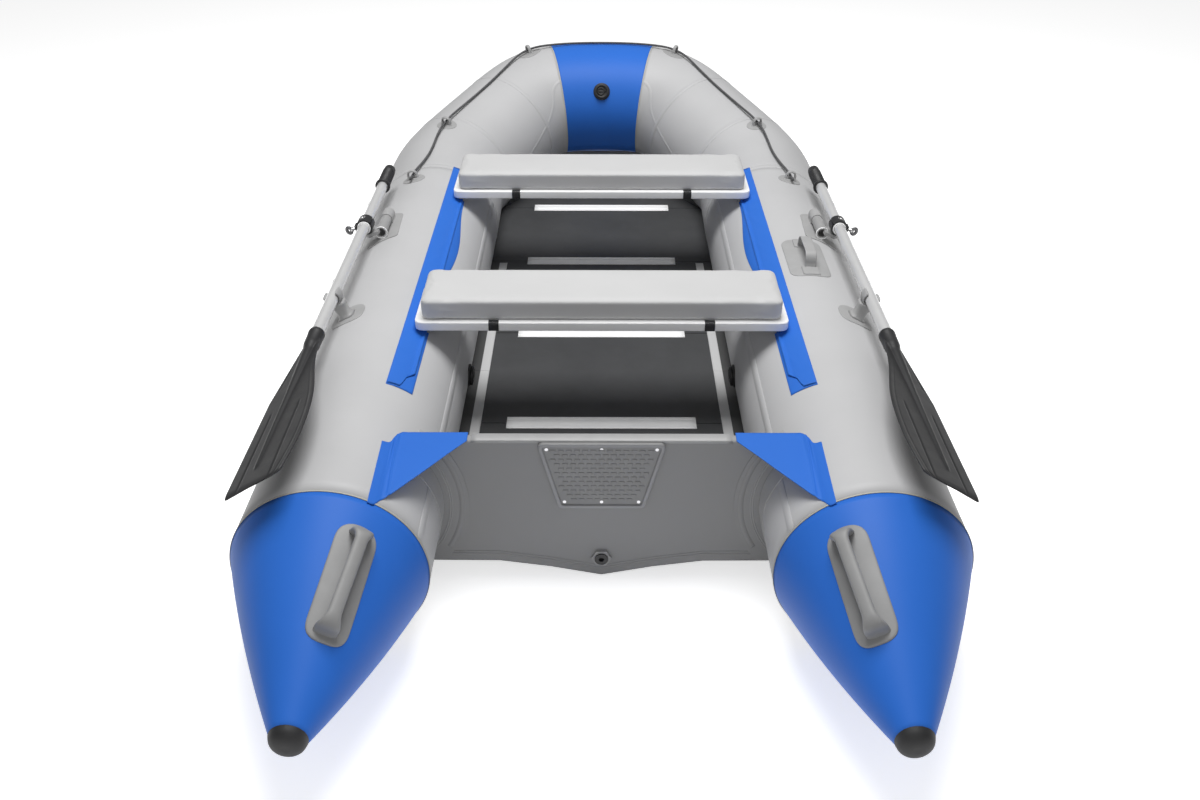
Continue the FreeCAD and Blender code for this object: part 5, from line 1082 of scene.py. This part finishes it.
def make_floor_profiles():
    """Anodised joint profiles with two rolled grooves, and the rounded lips of the stringers."""
    low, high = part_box("floor_joint_profiles")
    section = [(-JOINT_HALF, -0.002), (JOINT_HALF, -0.002), (JOINT_HALF, -0.0007),
               (JOINT_HALF - BEAD, 0.0)]
    for middle in (0.0145, -0.0145):
        section += [(middle + 2 * GROOVE, 0.0), (middle + GROOVE, -GROOVE),
                    (middle - GROOVE, -GROOVE), (middle - 2 * GROOVE, 0.0)]
    section += [(-JOINT_HALF + BEAD, 0.0), (-JOINT_HALF, -0.0007)]
    for i, station in enumerate(JOINT_STATIONS):
        path = np.stack([np.linspace(low[0], high[0], 24), np.full(24, SEAM_Y + station),
                         np.full(24, high[2])], -1)
        part = swept(f"floor_joint_profile_{i + 1}", path, UP, section, PROFILE)
        fit(part, "hull", "aluminium", *(["floor_joint_profiles"] if i == 0 else []))
    _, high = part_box("side_stringers")
    for label, sign in SIDES:
        for i, (aft, bow) in enumerate(STRINGER_RUNS):
            path = np.stack([np.full(40, high[0] - STRINGER_FLANGE + 0.0010),
                             np.linspace(aft, bow, 40) + SEAM_Y,
                             np.full(40, high[2] - 0.0002)], -1)
            lip = swept(f"{label}_stringer_lip_{i + 1}", path, UP, circle(BEAD, 10), ALUMINIUM,
                        sign=sign)
            fit(lip, "hull", "aluminium")


# ---------------------------------------------------------------- seats

VOXEL = 0.005
PRESSURE = 4.0
FRAMES = 20
SWELL_ROOM = 0.005         # left round the cushion's foam for its cover to fill
SWELL_REACH = 0.0045
BOARD_CORNER = 0.024
BOARD_EDGE = 0.003
STRAP_X = 0.275
STRAP_GAP = 0.0009
STRAP_BEND = 0.006
STRAP_TAIL = 0.016
STRAP_SECTION = np.array([(-0.013, -0.0007), (0.013, -0.0007), (0.013, 0.0007), (0.0, 0.0011),
                          (-0.013, 0.0007)])


def swell(piece, floor_height, reach):
    """Cover blown up by cloth simulation.

    The mesh is remade in even voxels, pressed from inside for twenty frames, and each point keeps
    its own movement, shortened to the reach and never below what the cushion lies on.
    """
    remesh = piece.modifiers.new("voxels", "REMESH")
    remesh.mode = "VOXEL"
    remesh.voxel_size = VOXEL
    graph = bpy.context.evaluated_depsgraph_get()
    mesh = bpy.data.meshes.new_from_object(piece.evaluated_get(graph))
    piece.modifiers.clear()
    piece.data = mesh
    start = np.empty(len(mesh.vertices) * 3, np.float32)
    mesh.vertices.foreach_get("co", start)
    cloth = piece.modifiers.new("cloth", "CLOTH")
    cloth.settings.use_pressure = True
    cloth.settings.uniform_pressure_force = PRESSURE
    cloth.settings.effector_weights.gravity = 0.0
    cloth.point_cache.frame_end = FRAMES
    for frame_number in range(1, FRAMES + 1):
        bpy.context.scene.frame_set(frame_number)
    graph = bpy.context.evaluated_depsgraph_get()
    blown = bpy.data.meshes.new_from_object(piece.evaluated_get(graph))
    end = np.empty_like(start)
    blown.vertices.foreach_get("co", end)
    piece.modifiers.clear()
    bpy.data.meshes.remove(blown)
    bpy.context.scene.frame_set(1)
    move = (end - start).reshape(-1, 3)
    size = np.maximum(np.linalg.norm(move, axis=1, keepdims=True), 1e-6)
    points = start.reshape(-1, 3) + move * np.minimum(1.0, reach / size)
    points[:, 2] = np.maximum(points[:, 2], floor_height)
    mesh.vertices.foreach_set("co", points.astype(np.float32).ravel())
    mesh.polygons.foreach_set("use_smooth", np.ones(len(mesh.polygons), bool))
    mesh.update()


def seat_cushions():
    """Both cushions: one simulated cover, copied forward for the second seat."""
    low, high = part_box("rear_seat_cushion")
    middle_y = (low[1] + high[1]) / 2.0
    half_x, half_y = (high[0] - low[0]) / 2.0, (high[1] - low[1]) / 2.0
    outline = rounded_box(half_x - SWELL_ROOM, half_y - SWELL_ROOM, 0.026, count=240)
    rings = slab_rings(low[2] + 0.001, high[2] - 0.0025, 0.008, 0.006)
    rear = ringed("rear_cushion", level_place(middle_y), outline, rings, CUSHION)
    swell(rear, low[2] + 0.0002, SWELL_REACH)
    front_low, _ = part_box("front_seat_cushion")
    ahead = front_low[1] - low[1]
    front = bpy.data.objects.new("front_cushion", rear.data.copy())
    bpy.context.collection.objects.link(front)
    points = np.empty(len(front.data.vertices) * 3, np.float32)
    front.data.vertices.foreach_get("co", points)
    points[1::3] += ahead
    front.data.vertices.foreach_set("co", points)
    front.data.update()
    for piece, seat in ((rear, "rear_seat"), (front, "front_seat")):
        smooth = piece.modifiers.new("smooth", "SUBSURF")
        smooth.levels = smooth.render_levels = 1
        fit(piece, seat, "seat_cushion_fabric", f"{seat}_cushion")


def make_seats():
    """Painted boards with rounded edges, cushions, and a webbing loop near each end."""
    for seat in ("rear_seat", "front_seat"):
        low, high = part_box(f"{seat}_board")
        middle_y = (low[1] + high[1]) / 2.0
        half_x, half_y = (high[0] - low[0]) / 2.0, (high[1] - low[1]) / 2.0
        outline = rounded_box(half_x, half_y, BOARD_CORNER, count=200)
        rings = slab_rings(low[2], high[2], BOARD_EDGE, BOARD_EDGE)
        board = ringed(f"{seat}_plank", level_place(middle_y), outline, rings, BOARD)
        fit(board, seat, "seat_board_paint", f"{seat}_board")
        top, under = high[2] + 0.0004, low[2] - STRAP_GAP
        front, back = half_y + STRAP_GAP, -half_y - STRAP_GAP
        bend, nick = STRAP_BEND, 0.3 * STRAP_BEND
        route = [(front - STRAP_TAIL, top), (front - bend, top), (front - nick, top - nick),
                 (front, top - bend), (front, under + bend), (front - nick, under + nick),
                 (front - bend, under), (0.0, under), (back + bend, under),
                 (back + nick, under + nick), (back, under + bend), (back, top - bend),
                 (back + nick, top - nick), (back + bend, top), (back + STRAP_TAIL, top)]
        route = evenly(np.array(route), 120)
        for label, sign in SIDES:
            path = np.stack([np.full(len(route), STRAP_X), middle_y + route[:, 0], route[:, 1]],
                            -1)
            away = np.cross(np.gradient(path, axis=0), ACROSS)
            band = swept(f"{seat}_strap_{label}", path, away, STRAP_SECTION, STRAP, sign=sign)
            fit(band, seat, "black_rope")
    seat_cushions()


# ---------------------------------------------------------------- grips and eyes

def arch(half, height, bend, sunk, count):
    """Line of a raised grip in (along, away): up, round, along, round and down."""
    corners = np.array([(-half - 0.006, -sunk), (-half, height - bend), (-half + bend, height),
                        (half - bend, height), (half, height - bend), (half + 0.006, -sunk)])
    start, end = corners[0], corners[-1]
    t = np.linspace(0.0, 1.0, 12)[:, None]
    knee = np.array([(-half, height)])
    other = np.array([(half, height)])
    first = (1 - t) ** 2 * corners[1] + 2 * t * (1 - t) * knee + t ** 2 * corners[2]
    second = (1 - t) ** 2 * corners[3] + 2 * t * (1 - t) * other + t ** 2 * corners[4]
    return evenly(np.concatenate([start[None], first, second, end[None]]), count)


STERN_GRIP_BEHIND = 0.180
STERN_GRIP_ANGLE = -29.0
STERN_GRIP_HALF = 0.103
CARRY_STATION = 1.085
CARRY_ANGLE = 2.5
CARRY_FOOT = 0.088


def make_stern_grips():
    """Moulded grip on each cone: an oval patch and a raised bar carried along an arch.

    The bar's section is a squarish oval, which widens with the square of the distance near both
    feet.
    """
    middle, radius = cone_place(STERN_GRIP_BEHIND)
    slope = math.atan((TUBE_RADIUS - CONE_TIP_RADIUS) / CONE_LENGTH)
    lean = math.cos(slope)

    def over_cone(across, forward, height):
        back = STERN_GRIP_BEHIND - forward * lean
        around = np.degrees(across / cone_place(back)[1])
        return cone_point(back, STERN_GRIP_ANGLE + around, height / lean)

    down, radial = tilted(STERN_GRIP_ANGLE)
    away = radial * math.cos(slope) - FORWARD * math.sin(slope)
    along = FORWARD * math.cos(slope) + radial * math.sin(slope)
    outline = rounded_box(0.043, 0.129, 0.041, count=120)
    rings = patch_rings(0.0034, 0.004, crown=0.001, shares=(0.85, 0.7, 0.5, 0.3, 0.1))
    route = arch(STERN_GRIP_HALF, 0.036, 0.022, 0.004, 70)
    path = middle + radial * radius + route[:, :1] * along + route[:, 1:] * away
    reach = np.abs(route[:, 0]) / STERN_GRIP_HALF
    flare = 1.0 + 0.75 * np.clip((reach - 0.72) / 0.28, 0.0, 1.0) ** 2
    section = squarish(24, 0.8) * np.stack([0.0135 * flare, 0.0078 + 0 * flare], -1)[:, None]
    up = np.cross(down, np.gradient(path, axis=0))
    for label, sign in SIDES:
        patch = ringed(f"{label}_stern_grip_patch", over_cone, outline, rings, GRIP_GREY, sign)
        bar = swept(f"{label}_stern_grip_bar", path, up, section, GRIP_GREY, sign=sign)
        fit(patch, "hull", "grey_patch", *both_sides("stern_handles", sign))
        fit(bar, "hull", "grey_patch")


def make_carry_handle():
    """Webbing handle on the starboard tube: patch, moulded feet and an arched strap.

    The strap's top face is a cosine of six half waves across its width.
    """
    place = tube_place(CARRY_STATION, 0.0, CARRY_ANGLE)
    outline = rounded_box(0.058, 0.118, 0.034, count=120)
    patch = ringed("carry_handle_patch", place, outline, patch_rings(0.0020, 0.003), PATCH)
    fit(patch, "hull", "grey_patch", "carry_handle")
    origin, down, ahead, away = patch_frame(CARRY_STATION, 0.0, CARRY_ANGLE)
    route = arch(0.066, 0.042, 0.028, 0.002, 70)
    path = origin + route[:, :1] * ahead + route[:, 1:] * away
    up = np.cross(down, np.gradient(path, axis=0))
    ribs = np.linspace(-1.0, 1.0, 13)
    top = np.stack([0.015 * ribs, 0.0020 + 0.0005 * np.cos(ribs * 6.0 * math.pi)], -1)
    under = np.stack([0.015 * ribs[::-1], -0.0020 - 0 * ribs], -1)
    strap = swept("carry_handle_strap", path, up, np.concatenate([top, under]), PATCH)
    fit(strap, "hull", "grey_patch")
    for end, forward in (("aft", -CARRY_FOOT), ("bow", CARRY_FOOT)):
        pad = rounded_box(0.024, 0.026, 0.007, count=64) + np.array([0.0, forward])
        foot = ringed(f"carry_handle_foot_{end}", place, pad,
                      patch_rings(0.0058, 0.003, shares=(0.8, 0.5, 0.1)), PATCH)
        fit(foot, "hull", "grey_patch")


EYE_PLACES = ((1.690, 0.0, 14.0), (CURVE_START, 0.125, 0.5), (CURVE_START, 0.755, 2.0),
              (1.700, 0.0, 62.0), (1.120, 0.0, 62.0), (0.330, 0.0, 66.0))


EYE_PAD, EYE_BOSS = (0.038, 0.034), (0.0225, 0.0130)
EYE_HEIGHT = 0.0115        # middle of its arch


def make_eyes():
    """Moulded eyes for the grab lines: oval pad, low boss and a rounded arch over the rope.

    The arch is an oval with its cosine drawn out, and its section thickens towards the feet.
    """
    turn = np.radians(np.linspace(-38.0, 218.0, 44))
    thick = 1.0 + 0.55 * np.clip(-np.sin(turn) + 0.15, 0.0, 1.0)
    section = circle(1.0, 16)[None] * np.stack([0.0062 * thick, 0.0036 * thick], -1)[:, None]
    across = 0.0150 * np.abs(np.cos(turn)) ** 0.7 * np.sign(np.cos(turn))
    disc = circle(1.0, 72)
    for label, sign in SIDES:
        for i, (station, bow_turn, angle) in enumerate(EYE_PLACES):
            place = tube_place(station, bow_turn, angle)
            pad = ringed(f"{label}_eye_pad_{i + 1}", place, disc * EYE_PAD,
                         patch_rings(0.0018, 0.002, shares=(0.8, 0.5, 0.1)), PATCH, sign)
            boss = ringed(f"{label}_eye_boss_{i + 1}", place, disc * EYE_BOSS,
                          patch_rings(0.0044, 0.0035, shares=(0.7, 0.4, 0.1)), PATCH, sign)
            origin, down, _, away = patch_frame(station, bow_turn, angle)
            outward = across[:, None] * down + 0.0170 * np.sin(turn)[:, None] * away
            loop = swept(f"{label}_eye_loop_{i + 1}", origin + EYE_HEIGHT * away + outward,
                         outward, section, PATCH, sign=sign)
            nodes = both_sides("grab_line_eyes", sign) if i == 0 else []
            fit(pad, "hull", "grey_patch", *nodes)
            fit(boss, "hull", "grey_patch")
            fit(loop, "hull", "grey_patch")


# ---------------------------------------------------------------- oars

PIVOT_STATION = 1.226
BLADE_STATION = 0.562      # where places along the blade start
GRIP_STATION = 1.522
CLIP_STATION = PIVOT_STATION - 0.454
BARREL_STATION = 1.238
SHAFT_ANGLE = 26.5
SHAFT_HEIGHT = 0.0637      # its axis over the tube
BLADE_LEAN = 30.0
CLAMP_LEAN = 18.0


def shaft_point(station):
    """Point on the oar's axis."""
    return on_tube(station, 0.0, SHAFT_ANGLE, SHAFT_HEIGHT)


def blade_edges(count):
    """Inner and outer edge of the blade in (across, along), from the neck to the end."""
    inner = through(np.array([(-0.013, 0.018), (-0.020, -0.028), (-0.040, -0.148),
                              (-0.082, -0.317), (-0.093, -0.458), (-0.080, -0.570),
                              (-0.072, -0.590), (-0.058, -0.5945)]), 400)
    outer = rounded_polygon([(0.013, 0.018), (0.020, 0.018), (0.050, -0.208), (0.057, -0.260),
                             (0.060, -0.607), (-0.020, -0.600), (-0.022, 0.018)], 0.011)
    outer = outer[8:40]
    return evenly(inner, count), evenly(outer[outer[:, 0] > 0.0], count)


def make_blade(label, sign):
    """Oar blade: plate with rounded edges, a spine that tapers to its end, and pressed grooves.

    Between the edges the height is half the plate, taken over by the spine's round, less the
    grooves' Gaussians, and falls to nothing at both edges as a quarter round.  A groove starts
    and ends with a straight rise along the blade.
    """
    inner, outer = blade_edges(150)
    share = 0.5 - 0.5 * np.cos(np.linspace(0.0, math.pi, 90))
    across = inner[:, None] * (1.0 - share[None, :, None]) + outer[:, None] * share[None, :, None]
    width = np.linalg.norm(outer - inner, axis=1)[:, None]
    edge = np.minimum(share, 1.0 - share)[None] * width
    round_off = np.sqrt(np.clip(1.0 - (1.0 - np.clip(edge / 0.0030, 0.0, 1.0)) ** 2, 0.0, 1.0))
    w, y = across[..., 0], across[..., 1]
    fade = np.clip((y + 0.600) / 0.014, 0.0, 1.0)
    spine_radius = np.interp(y, (-0.530, -0.250, -0.070, -0.045),
                             (0.0055, 0.0095, 0.0150, 0.0190))
    spine = np.sqrt(np.maximum(spine_radius ** 2 - w ** 2, 0.0))
    stop = np.clip((y + 0.548) / 0.018, 0.0, 1.0)
    half = 0.003 * np.sqrt(fade)
    height = np.maximum(half, spine * np.sqrt(stop))

    def groove(offset, start, end, wide, deep):
        lie = np.clip((start - y) / 0.02, 0.0, 1.0) * np.clip((y - end) / 0.02, 0.0, 1.0)
        return deep * lie * swelling(w - offset, wide)

    beside_inner = 0.0007 * swelling(share[None] * width - 0.011, 0.0022)
    contour = beside_inner * np.clip((-0.10 - y) / 0.05, 0.0, 1.0)
    cuts = (groove(-0.0500 + 0.006 * (y + 0.45), -0.315, -0.600, 0.0020, 0.0020)
            + groove(0.0290, -0.315, -0.600, 0.0020, 0.0020)
            + groove(0.0360 - 0.08 * (y + 0.17), -0.121, -0.222, 0.0016, 0.0016) + contour)
    top = (height - cuts) * round_off
    origin = shaft_point(BLADE_STATION)
    side, away = tilted(BLADE_LEAN)
    level = origin + w[..., None] * side + y[..., None] * FORWARD
    points = np.concatenate([level + top[..., None] * away,
                             (level - top[..., None] * away)[:, ::-1]], axis=1)
    return grid_piece(f"{label}_blade", points, BLACK, wrap=True, ends=True, sign=sign)


NECK = [(-0.070, 0.002), (-0.068, 0.012), (-0.055, 0.0172), (-0.036, 0.0192), (0.002, 0.0195),
        (0.004, 0.0203), (0.0125, 0.0203), (0.0155, 0.0196), (0.0160, 0.0166), (0.0160, 0.0160)]
GRIP_FLANGE = [(0.0, 0.0160), (0.0, 0.0225), (0.002, 0.0235), (0.007, 0.0235), (0.009, 0.0195)]
GRIP_RIB = np.array([(0.0, 0.0195), (0.0006, 0.0181), (0.0022, 0.0181), (0.0028, 0.0195),
                     (0.0050, 0.0197)])
GRIP_END = [(0.118, 0.0195), (0.128, 0.0190), (0.136, 0.0186), (0.144, 0.0180),
            (0.1485, 0.0160), (0.1500, 0.0120), (0.1500, 0.0010)]
RIB_START, RIB_PITCH, RIB_COUNT = 0.014, 0.0072, 14


def make_oars():
    """Blade with its neck sleeve, and a turned grip whose rib profile repeats at a pitch."""
    starts = RIB_START + RIB_PITCH * np.arange(RIB_COUNT)
    ribs = (GRIP_RIB + np.stack([starts, 0 * starts], -1)[:, None]).reshape(-1, 2)
    grip = np.concatenate([GRIP_FLANGE, ribs, GRIP_END])
    for label, sign in SIDES:
        blade = make_blade(label, sign)
        sleeve = lathe(f"{label}_blade_neck", shaft_point(BLADE_STATION), FORWARD, NECK, BLACK,
                       sign)
        handle = lathe(f"{label}_grip", shaft_point(GRIP_STATION), FORWARD, grip, BLACK, sign)
        fit(blade, f"{label}_oar", "black_plastic", f"{label}_oar_blade")
        fit(sleeve, f"{label}_oar", "black_plastic")
        fit(handle, f"{label}_oar", "black_plastic", f"{label}_oar_grip")


FOOT_RINGS = [(0.0, 0.1, 0.0012), (0.0, 0.9, 0.0012), (0.0, 1.45, 0.0018), (0.0, 1.12, 0.006),
              (0.0, 0.96, 0.014), (0.0, 0.92, 0.026), (0.0, 1.0, 0.038), (0.0, 1.08, 0.0440),
              (0.0, 0.9, 0.0455), (0.0, 0.4, 0.0458), (0.0, 0.05, 0.0458)]


def make_clips():
    """Moulded clip under each shaft: patch, waisted foot and a sleeve open at the top.

    The sleeve's path is an arc about the shaft, and its oval section thickens towards both ends.
    """
    place = tube_place(CLIP_STATION, 0.0, SHAFT_ANGLE)
    patch_outline = rounded_box(0.050, 0.046, 0.040, count=120)
    foot_outline = rounded_box(0.016, 0.017, 0.012, count=64)
    _, down, _, away = patch_frame(CLIP_STATION, 0.0, SHAFT_ANGLE)
    middle = shaft_point(CLIP_STATION)
    turn = np.radians(np.linspace(-128.0, 128.0, 72))
    share = np.abs(turn) / turn.max()
    path = (middle + 0.0193 * (1.0 + 0.10 * share ** 3)[:, None]
            * (np.sin(turn)[:, None] * down - np.cos(turn)[:, None] * away))
    cap = np.sqrt(np.clip(1.0 - np.clip((share - 0.93) / 0.07, 0.0, 1.0) ** 2, 0.01, 1.0))
    thick = (0.0026 + 0.0016 * share ** 2) * cap
    wide = (0.0160 + 0.0030 * share ** 2) * cap
    section = squarish(28, 0.75) * np.stack([wide, thick], -1)[:, None]
    for label, sign in SIDES:
        patch = ringed(f"{label}_clip_patch", place, patch_outline, patch_rings(0.0022, 0.003),
                       PATCH, sign)
        foot = ringed(f"{label}_clip_foot", place, foot_outline, FOOT_RINGS, PATCH, sign)
        sleeve = swept(f"{label}_clip_sleeve", path, path - middle, section, PATCH, sign=sign)
        fit(patch, "hull", "dark_trim", *both_sides("oar_clips", sign))
        fit(foot, "hull", "dark_trim")
        fit(sleeve, "hull", "dark_trim")
        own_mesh(sleeve)


BARREL_PLACE = (BARREL_STATION, 0.0, 20.6, 0.020)
BARREL_RIM = np.array([(-0.0012, 0.0128), (-0.0020, 0.0138), (-0.0020, 0.0152),
                       (-0.0008, 0.0166), (0.0020, 0.0170), (0.0050, 0.0170),
                       (0.0062, 0.0163), (0.0062, 0.0128)])
BAND_REACH = 0.0176
SCREW_HEAD = [(-0.002, 0.0005), (-0.002, 0.0052), (0.0006, 0.0054), (0.0018, 0.0046),
              (0.0026, 0.0030), (0.0029, 0.0012), (0.0020, 0.0010), (0.0020, 0.0002)]
WING_SHANK = [(0.0164, 0.0005), (0.0164, 0.0040), (0.0240, 0.0040), (0.0400, 0.0040),
              (0.0408, 0.0066), (0.0440, 0.0066), (0.0470, 0.0052), (0.0480, 0.0010)]


def make_oarlocks():
    """Barrel rim and pale bands, clamp screw with its washer ring, wing screw with its flat ring.

    The rings are ovals about a middle, and the screws and the rim are turned profiles.
    """
    pivot = shaft_point(PIVOT_STATION)
    side, away = tilted(CLAMP_LEAN)
    barrel_aft = on_tube(*BARREL_PLACE)
    spoke = hoop(0.0, ACROSS, UP, 1.0, 1.0)[:, None]
    rim = barrel_aft + BARREL_RIM[:, :1] * FORWARD + BARREL_RIM[:, 1:] * spoke
    wing = pivot - 0.002 * away
    for label, sign in SIDES:
        oarlock, oar, screw = f"{label}_oarlock", f"{label}_oar", f"{label}_wing_screw"
        collar = grid_piece(f"{label}_barrel_rim", rim, RIM_GREY, wrap=True, loop=True, sign=sign)
        fit(collar, oarlock, "grey_plastic")
        for part, body, middle in (("barrel_band", oarlock, barrel_aft - 0.0012 * FORWARD),
                                   ("shaft_band", oar, pivot - 0.0230 * FORWARD)):
            path = hoop(middle, ACROSS, UP, BAND_REACH, BAND_REACH)
            band = swept(f"{label}_{part}", path, FORWARD, circle(0.0019, 10), PALE_BAND,
                         loop=True, sign=sign)
            fit(band, body, "grey_plastic")
        head = lathe(f"{label}_clamp_screw", pivot + 0.0238 * away, away, SCREW_HEAD, STEEL, sign)
        fit(head, oar, "screw_steel")
        path = hoop(pivot + 0.0236 * away, side, FORWARD, 0.0088, 0.0088)
        washer = swept(f"{label}_clamp_washer", path, away, circle(0.0011, 10), EDGE_STRIP,
                       loop=True, sign=sign)
        fit(washer, oar, "grey_plastic")
        shank = lathe(f"{label}_wing_shank", wing, side, WING_SHANK, STEEL, sign)
        path = hoop(wing + 0.0530 * side, side, away, 0.0066, 0.0092)
        ring = swept(f"{label}_wing_ring", path, FORWARD, circle(1.0, 12) * (0.0052, 0.0040),
                     DARK_STEEL, loop=True, sign=sign)
        fit(shank, screw, "screw_steel", screw)
        fit(ring, screw, "screw_steel")


# ---------------------------------------------------------------- valves

VALVE_PLACES = (("starboard", 0.810, 0.0, -95.0, 1.0), ("port", 0.810, 0.0, -95.0, -1.0),
                ("bow", CURVE_START, 1.0, -66.0, 1.0))
VALVE_FLANGE = [(-0.006, 0.0005), (-0.006, 0.0315), (0.0022, 0.0320), (0.0034, 0.0314),
                (0.0040, 0.0300), (0.0040, 0.0235), (0.0036, 0.0225), (0.0036, 0.0005)]
VALVE_CAP = [(0.0043, 0.0005), (0.0043, 0.0262), (0.0050, 0.0270), (0.0110, 0.0270),
             (0.0128, 0.0256), (0.0133, 0.0235), (0.0133, 0.0205), (0.0125, 0.0196),
             (0.0094, 0.0190), (0.0090, 0.0180), (0.0090, 0.0005)]
CAP_BAR = [(0.0, 0.0005), (0.0, 0.0030), (0.0100, 0.0034), (0.0280, 0.0034), (0.0330, 0.0028),
           (0.0330, 0.0005)]
CAP_RING = 0.0120


def make_valves():
    """Valve flanges and caps: turned profiles, with a finger ring and a bar in the cap's pocket."""
    for label, station, turn, angle, sign in VALVE_PLACES:
        cap = f"{label}_valve_cap"
        origin, down, forward, away = patch_frame(station, turn, angle)
        body = lathe(f"{label}_valve_flange", origin, away, VALVE_FLANGE, BLACK, sign)
        fit(body, "hull", "black_plastic", *(["valve_bodies"] if label == "starboard" else []))
        fit(lathe(f"{label}_cap", origin, away, VALVE_CAP, BLACK, sign), cap, "black_plastic", cap)
        middle = origin + 0.0108 * away + 0.003 * forward
        path = hoop(middle, down, forward, CAP_RING, CAP_RING)
        ring = swept(f"{label}_cap_ring", path, away, circle(1.0, 12) * (0.0026, 0.0022), BLACK,
                     loop=True, sign=sign)
        bar = lathe(f"{label}_cap_bar", origin + 0.0088 * away - 0.0165 * forward, forward,
                    CAP_BAR, BLACK, sign)
        fit(ring, cap, "black_plastic")
        fit(bar, cap, "black_plastic")


# ---------------------------------------------------------------- light and ground

FLOOR_HALF = 30.0
FLOOR_GLOW = 0.62          # seen by the camera, over what the lamps give
SURROUND = 0.24
LAMP_AIM = (0.0, 0.0, 0.3)
LAMPS = (("overhead", (0.0, 0.1, 4.2), 2.2, 162.0), ("stern", (0.0, -4.2, 2.4), 2.6, 23.0))


def make_ground():
    """Plain pale floor: white to the camera, and it keeps a soft shadow of the boat."""
    material, shader, add, drive = shader_tree("studio_floor")
    shader.inputs["Base Color"].default_value = (0.9, 0.9, 0.9, 1.0)
    shader.inputs["Roughness"].default_value = 1.0
    shader.inputs["Specular IOR Level"].default_value = 0.0
    path = add("ShaderNodeLightPath")
    seen = add("ShaderNodeMath", {0: path.outputs["Is Camera Ray"],
                                  1: path.outputs["Is Glossy Ray"]}, operation="MAXIMUM")
    glow = add("ShaderNodeMath", {0: seen.outputs[0], 1: FLOOR_GLOW}, operation="MULTIPLY")
    shader.inputs["Emission Color"].default_value = (1.0, 1.0, 1.0, 1.0)
    drive("Emission Strength", glow.outputs[0])
    corners = np.column_stack([FLOOR_HALF * SQUARE, np.zeros(4)])
    make_object("studio_floor", corners, [np.array([[0, 1, 2, 3]])], material)


def make_light():
    """Large soft lamps over the boat, aimed at its middle, and an even white surround."""
    world = bpy.data.worlds.new("studio")
    bpy.context.scene.world = world
    world.use_nodes = True
    tree = world.node_tree
    back = tree.nodes["Background"]
    path = tree.nodes.new("ShaderNodeLightPath")
    seen = tree.nodes.new("ShaderNodeMath")
    seen.operation = "MAXIMUM"
    tree.links.new(path.outputs["Is Camera Ray"], seen.inputs[0])
    tree.links.new(path.outputs["Is Transmission Ray"], seen.inputs[1])
    mix = tree.nodes.new("ShaderNodeMapRange")
    mix.inputs["To Min"].default_value = SURROUND
    mix.inputs["To Max"].default_value = 1.0
    tree.links.new(seen.outputs[0], mix.inputs["Value"])
    tree.links.new(mix.outputs[0], back.inputs["Strength"])
    back.inputs["Color"].default_value = (1.0, 1.0, 1.0, 1.0)
    for name, place, size, power in LAMPS:
        data = bpy.data.lights.new(name, "AREA")
        data.shape = "SQUARE"
        data.size = size
        data.energy = power
        lamp = bpy.data.objects.new(name, data)
        bpy.context.collection.objects.link(lamp)
        aim = np.subtract(LAMP_AIM, place)
        tilt = math.atan2(math.hypot(aim[0], aim[1]), -aim[2])
        turn = math.atan2(-aim[0], aim[1])
        lamp.matrix_world = (Matrix.Translation(place) @ Matrix.Rotation(turn, 4, "Z")
                             @ Matrix.Rotation(tilt, 4, "X"))


def finish_cad_nodes():
    """Materials of the CAD pieces whose shape stays."""
    finish_nodes(BOTTOM, "bottom_skin", "keel_tube")
    finish_nodes(RUBBER, "stern_cone_caps", "keel_guard_strip")
    finish_nodes(TRANSOM, "transom_board")
    finish_nodes(two_greys("collar_fabric", 0.31, 0.47, 1, TRANSOM_MIDDLE, TRANSOM_HALF + 0.003),
                 "transom_collars")
    finish_nodes(PAD, "motor_pad_outer", "motor_pad_inner")
    finish_nodes(STEEL, "motor_pad_screws")
    finish_nodes(GREY_PLASTIC, "drain_valve_body", "port_oarlock_swivel",
                 "starboard_oarlock_swivel", "rear_seat_slides", "front_seat_slides",
                 "port_valve_poppet", "starboard_valve_poppet", "bow_valve_poppet")
    finish_nodes(BLACK, "drain_plug", "port_oarlock_clamp", "starboard_oarlock_clamp")
    finish_nodes(FLOOR_FILM, "stern_floor_panel", "rear_floor_panel", "middle_floor_panel",
                 "forward_floor_panel", "bow_floor_panel")
    # Beyond this edge the stringers' top is painted near black: painted shade where the tube hangs
    # over it.
    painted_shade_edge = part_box("side_stringers")[1][0] - STRINGER_FLANGE + STRINGER_LIT
    finish_nodes(two_greys("stringer_aluminium_painted_shade", 0.52, 0.07, 0, 0.0, painted_shade_edge), "side_stringers")
    finish_nodes(SHAFT_METAL, "port_oar_shaft", "starboard_oar_shaft")
    finish_nodes(PATCH, "oarlock_bases")
    finish_nodes(GREY, "chamber_baffles")


make_camera()
make_ropes()
make_tubes()
make_seams()
make_strakes()
make_rails()
make_gussets()
make_transom_trim()
make_pad_trim()
make_floor_profiles()
make_seats()
make_stern_grips()
make_carry_handle()
make_eyes()
make_oars()
make_clips()
make_oarlocks()
make_valves()
finish_cad_nodes()
make_ground()
make_light()

bpy.context.scene.view_settings.view_transform = "Standard"
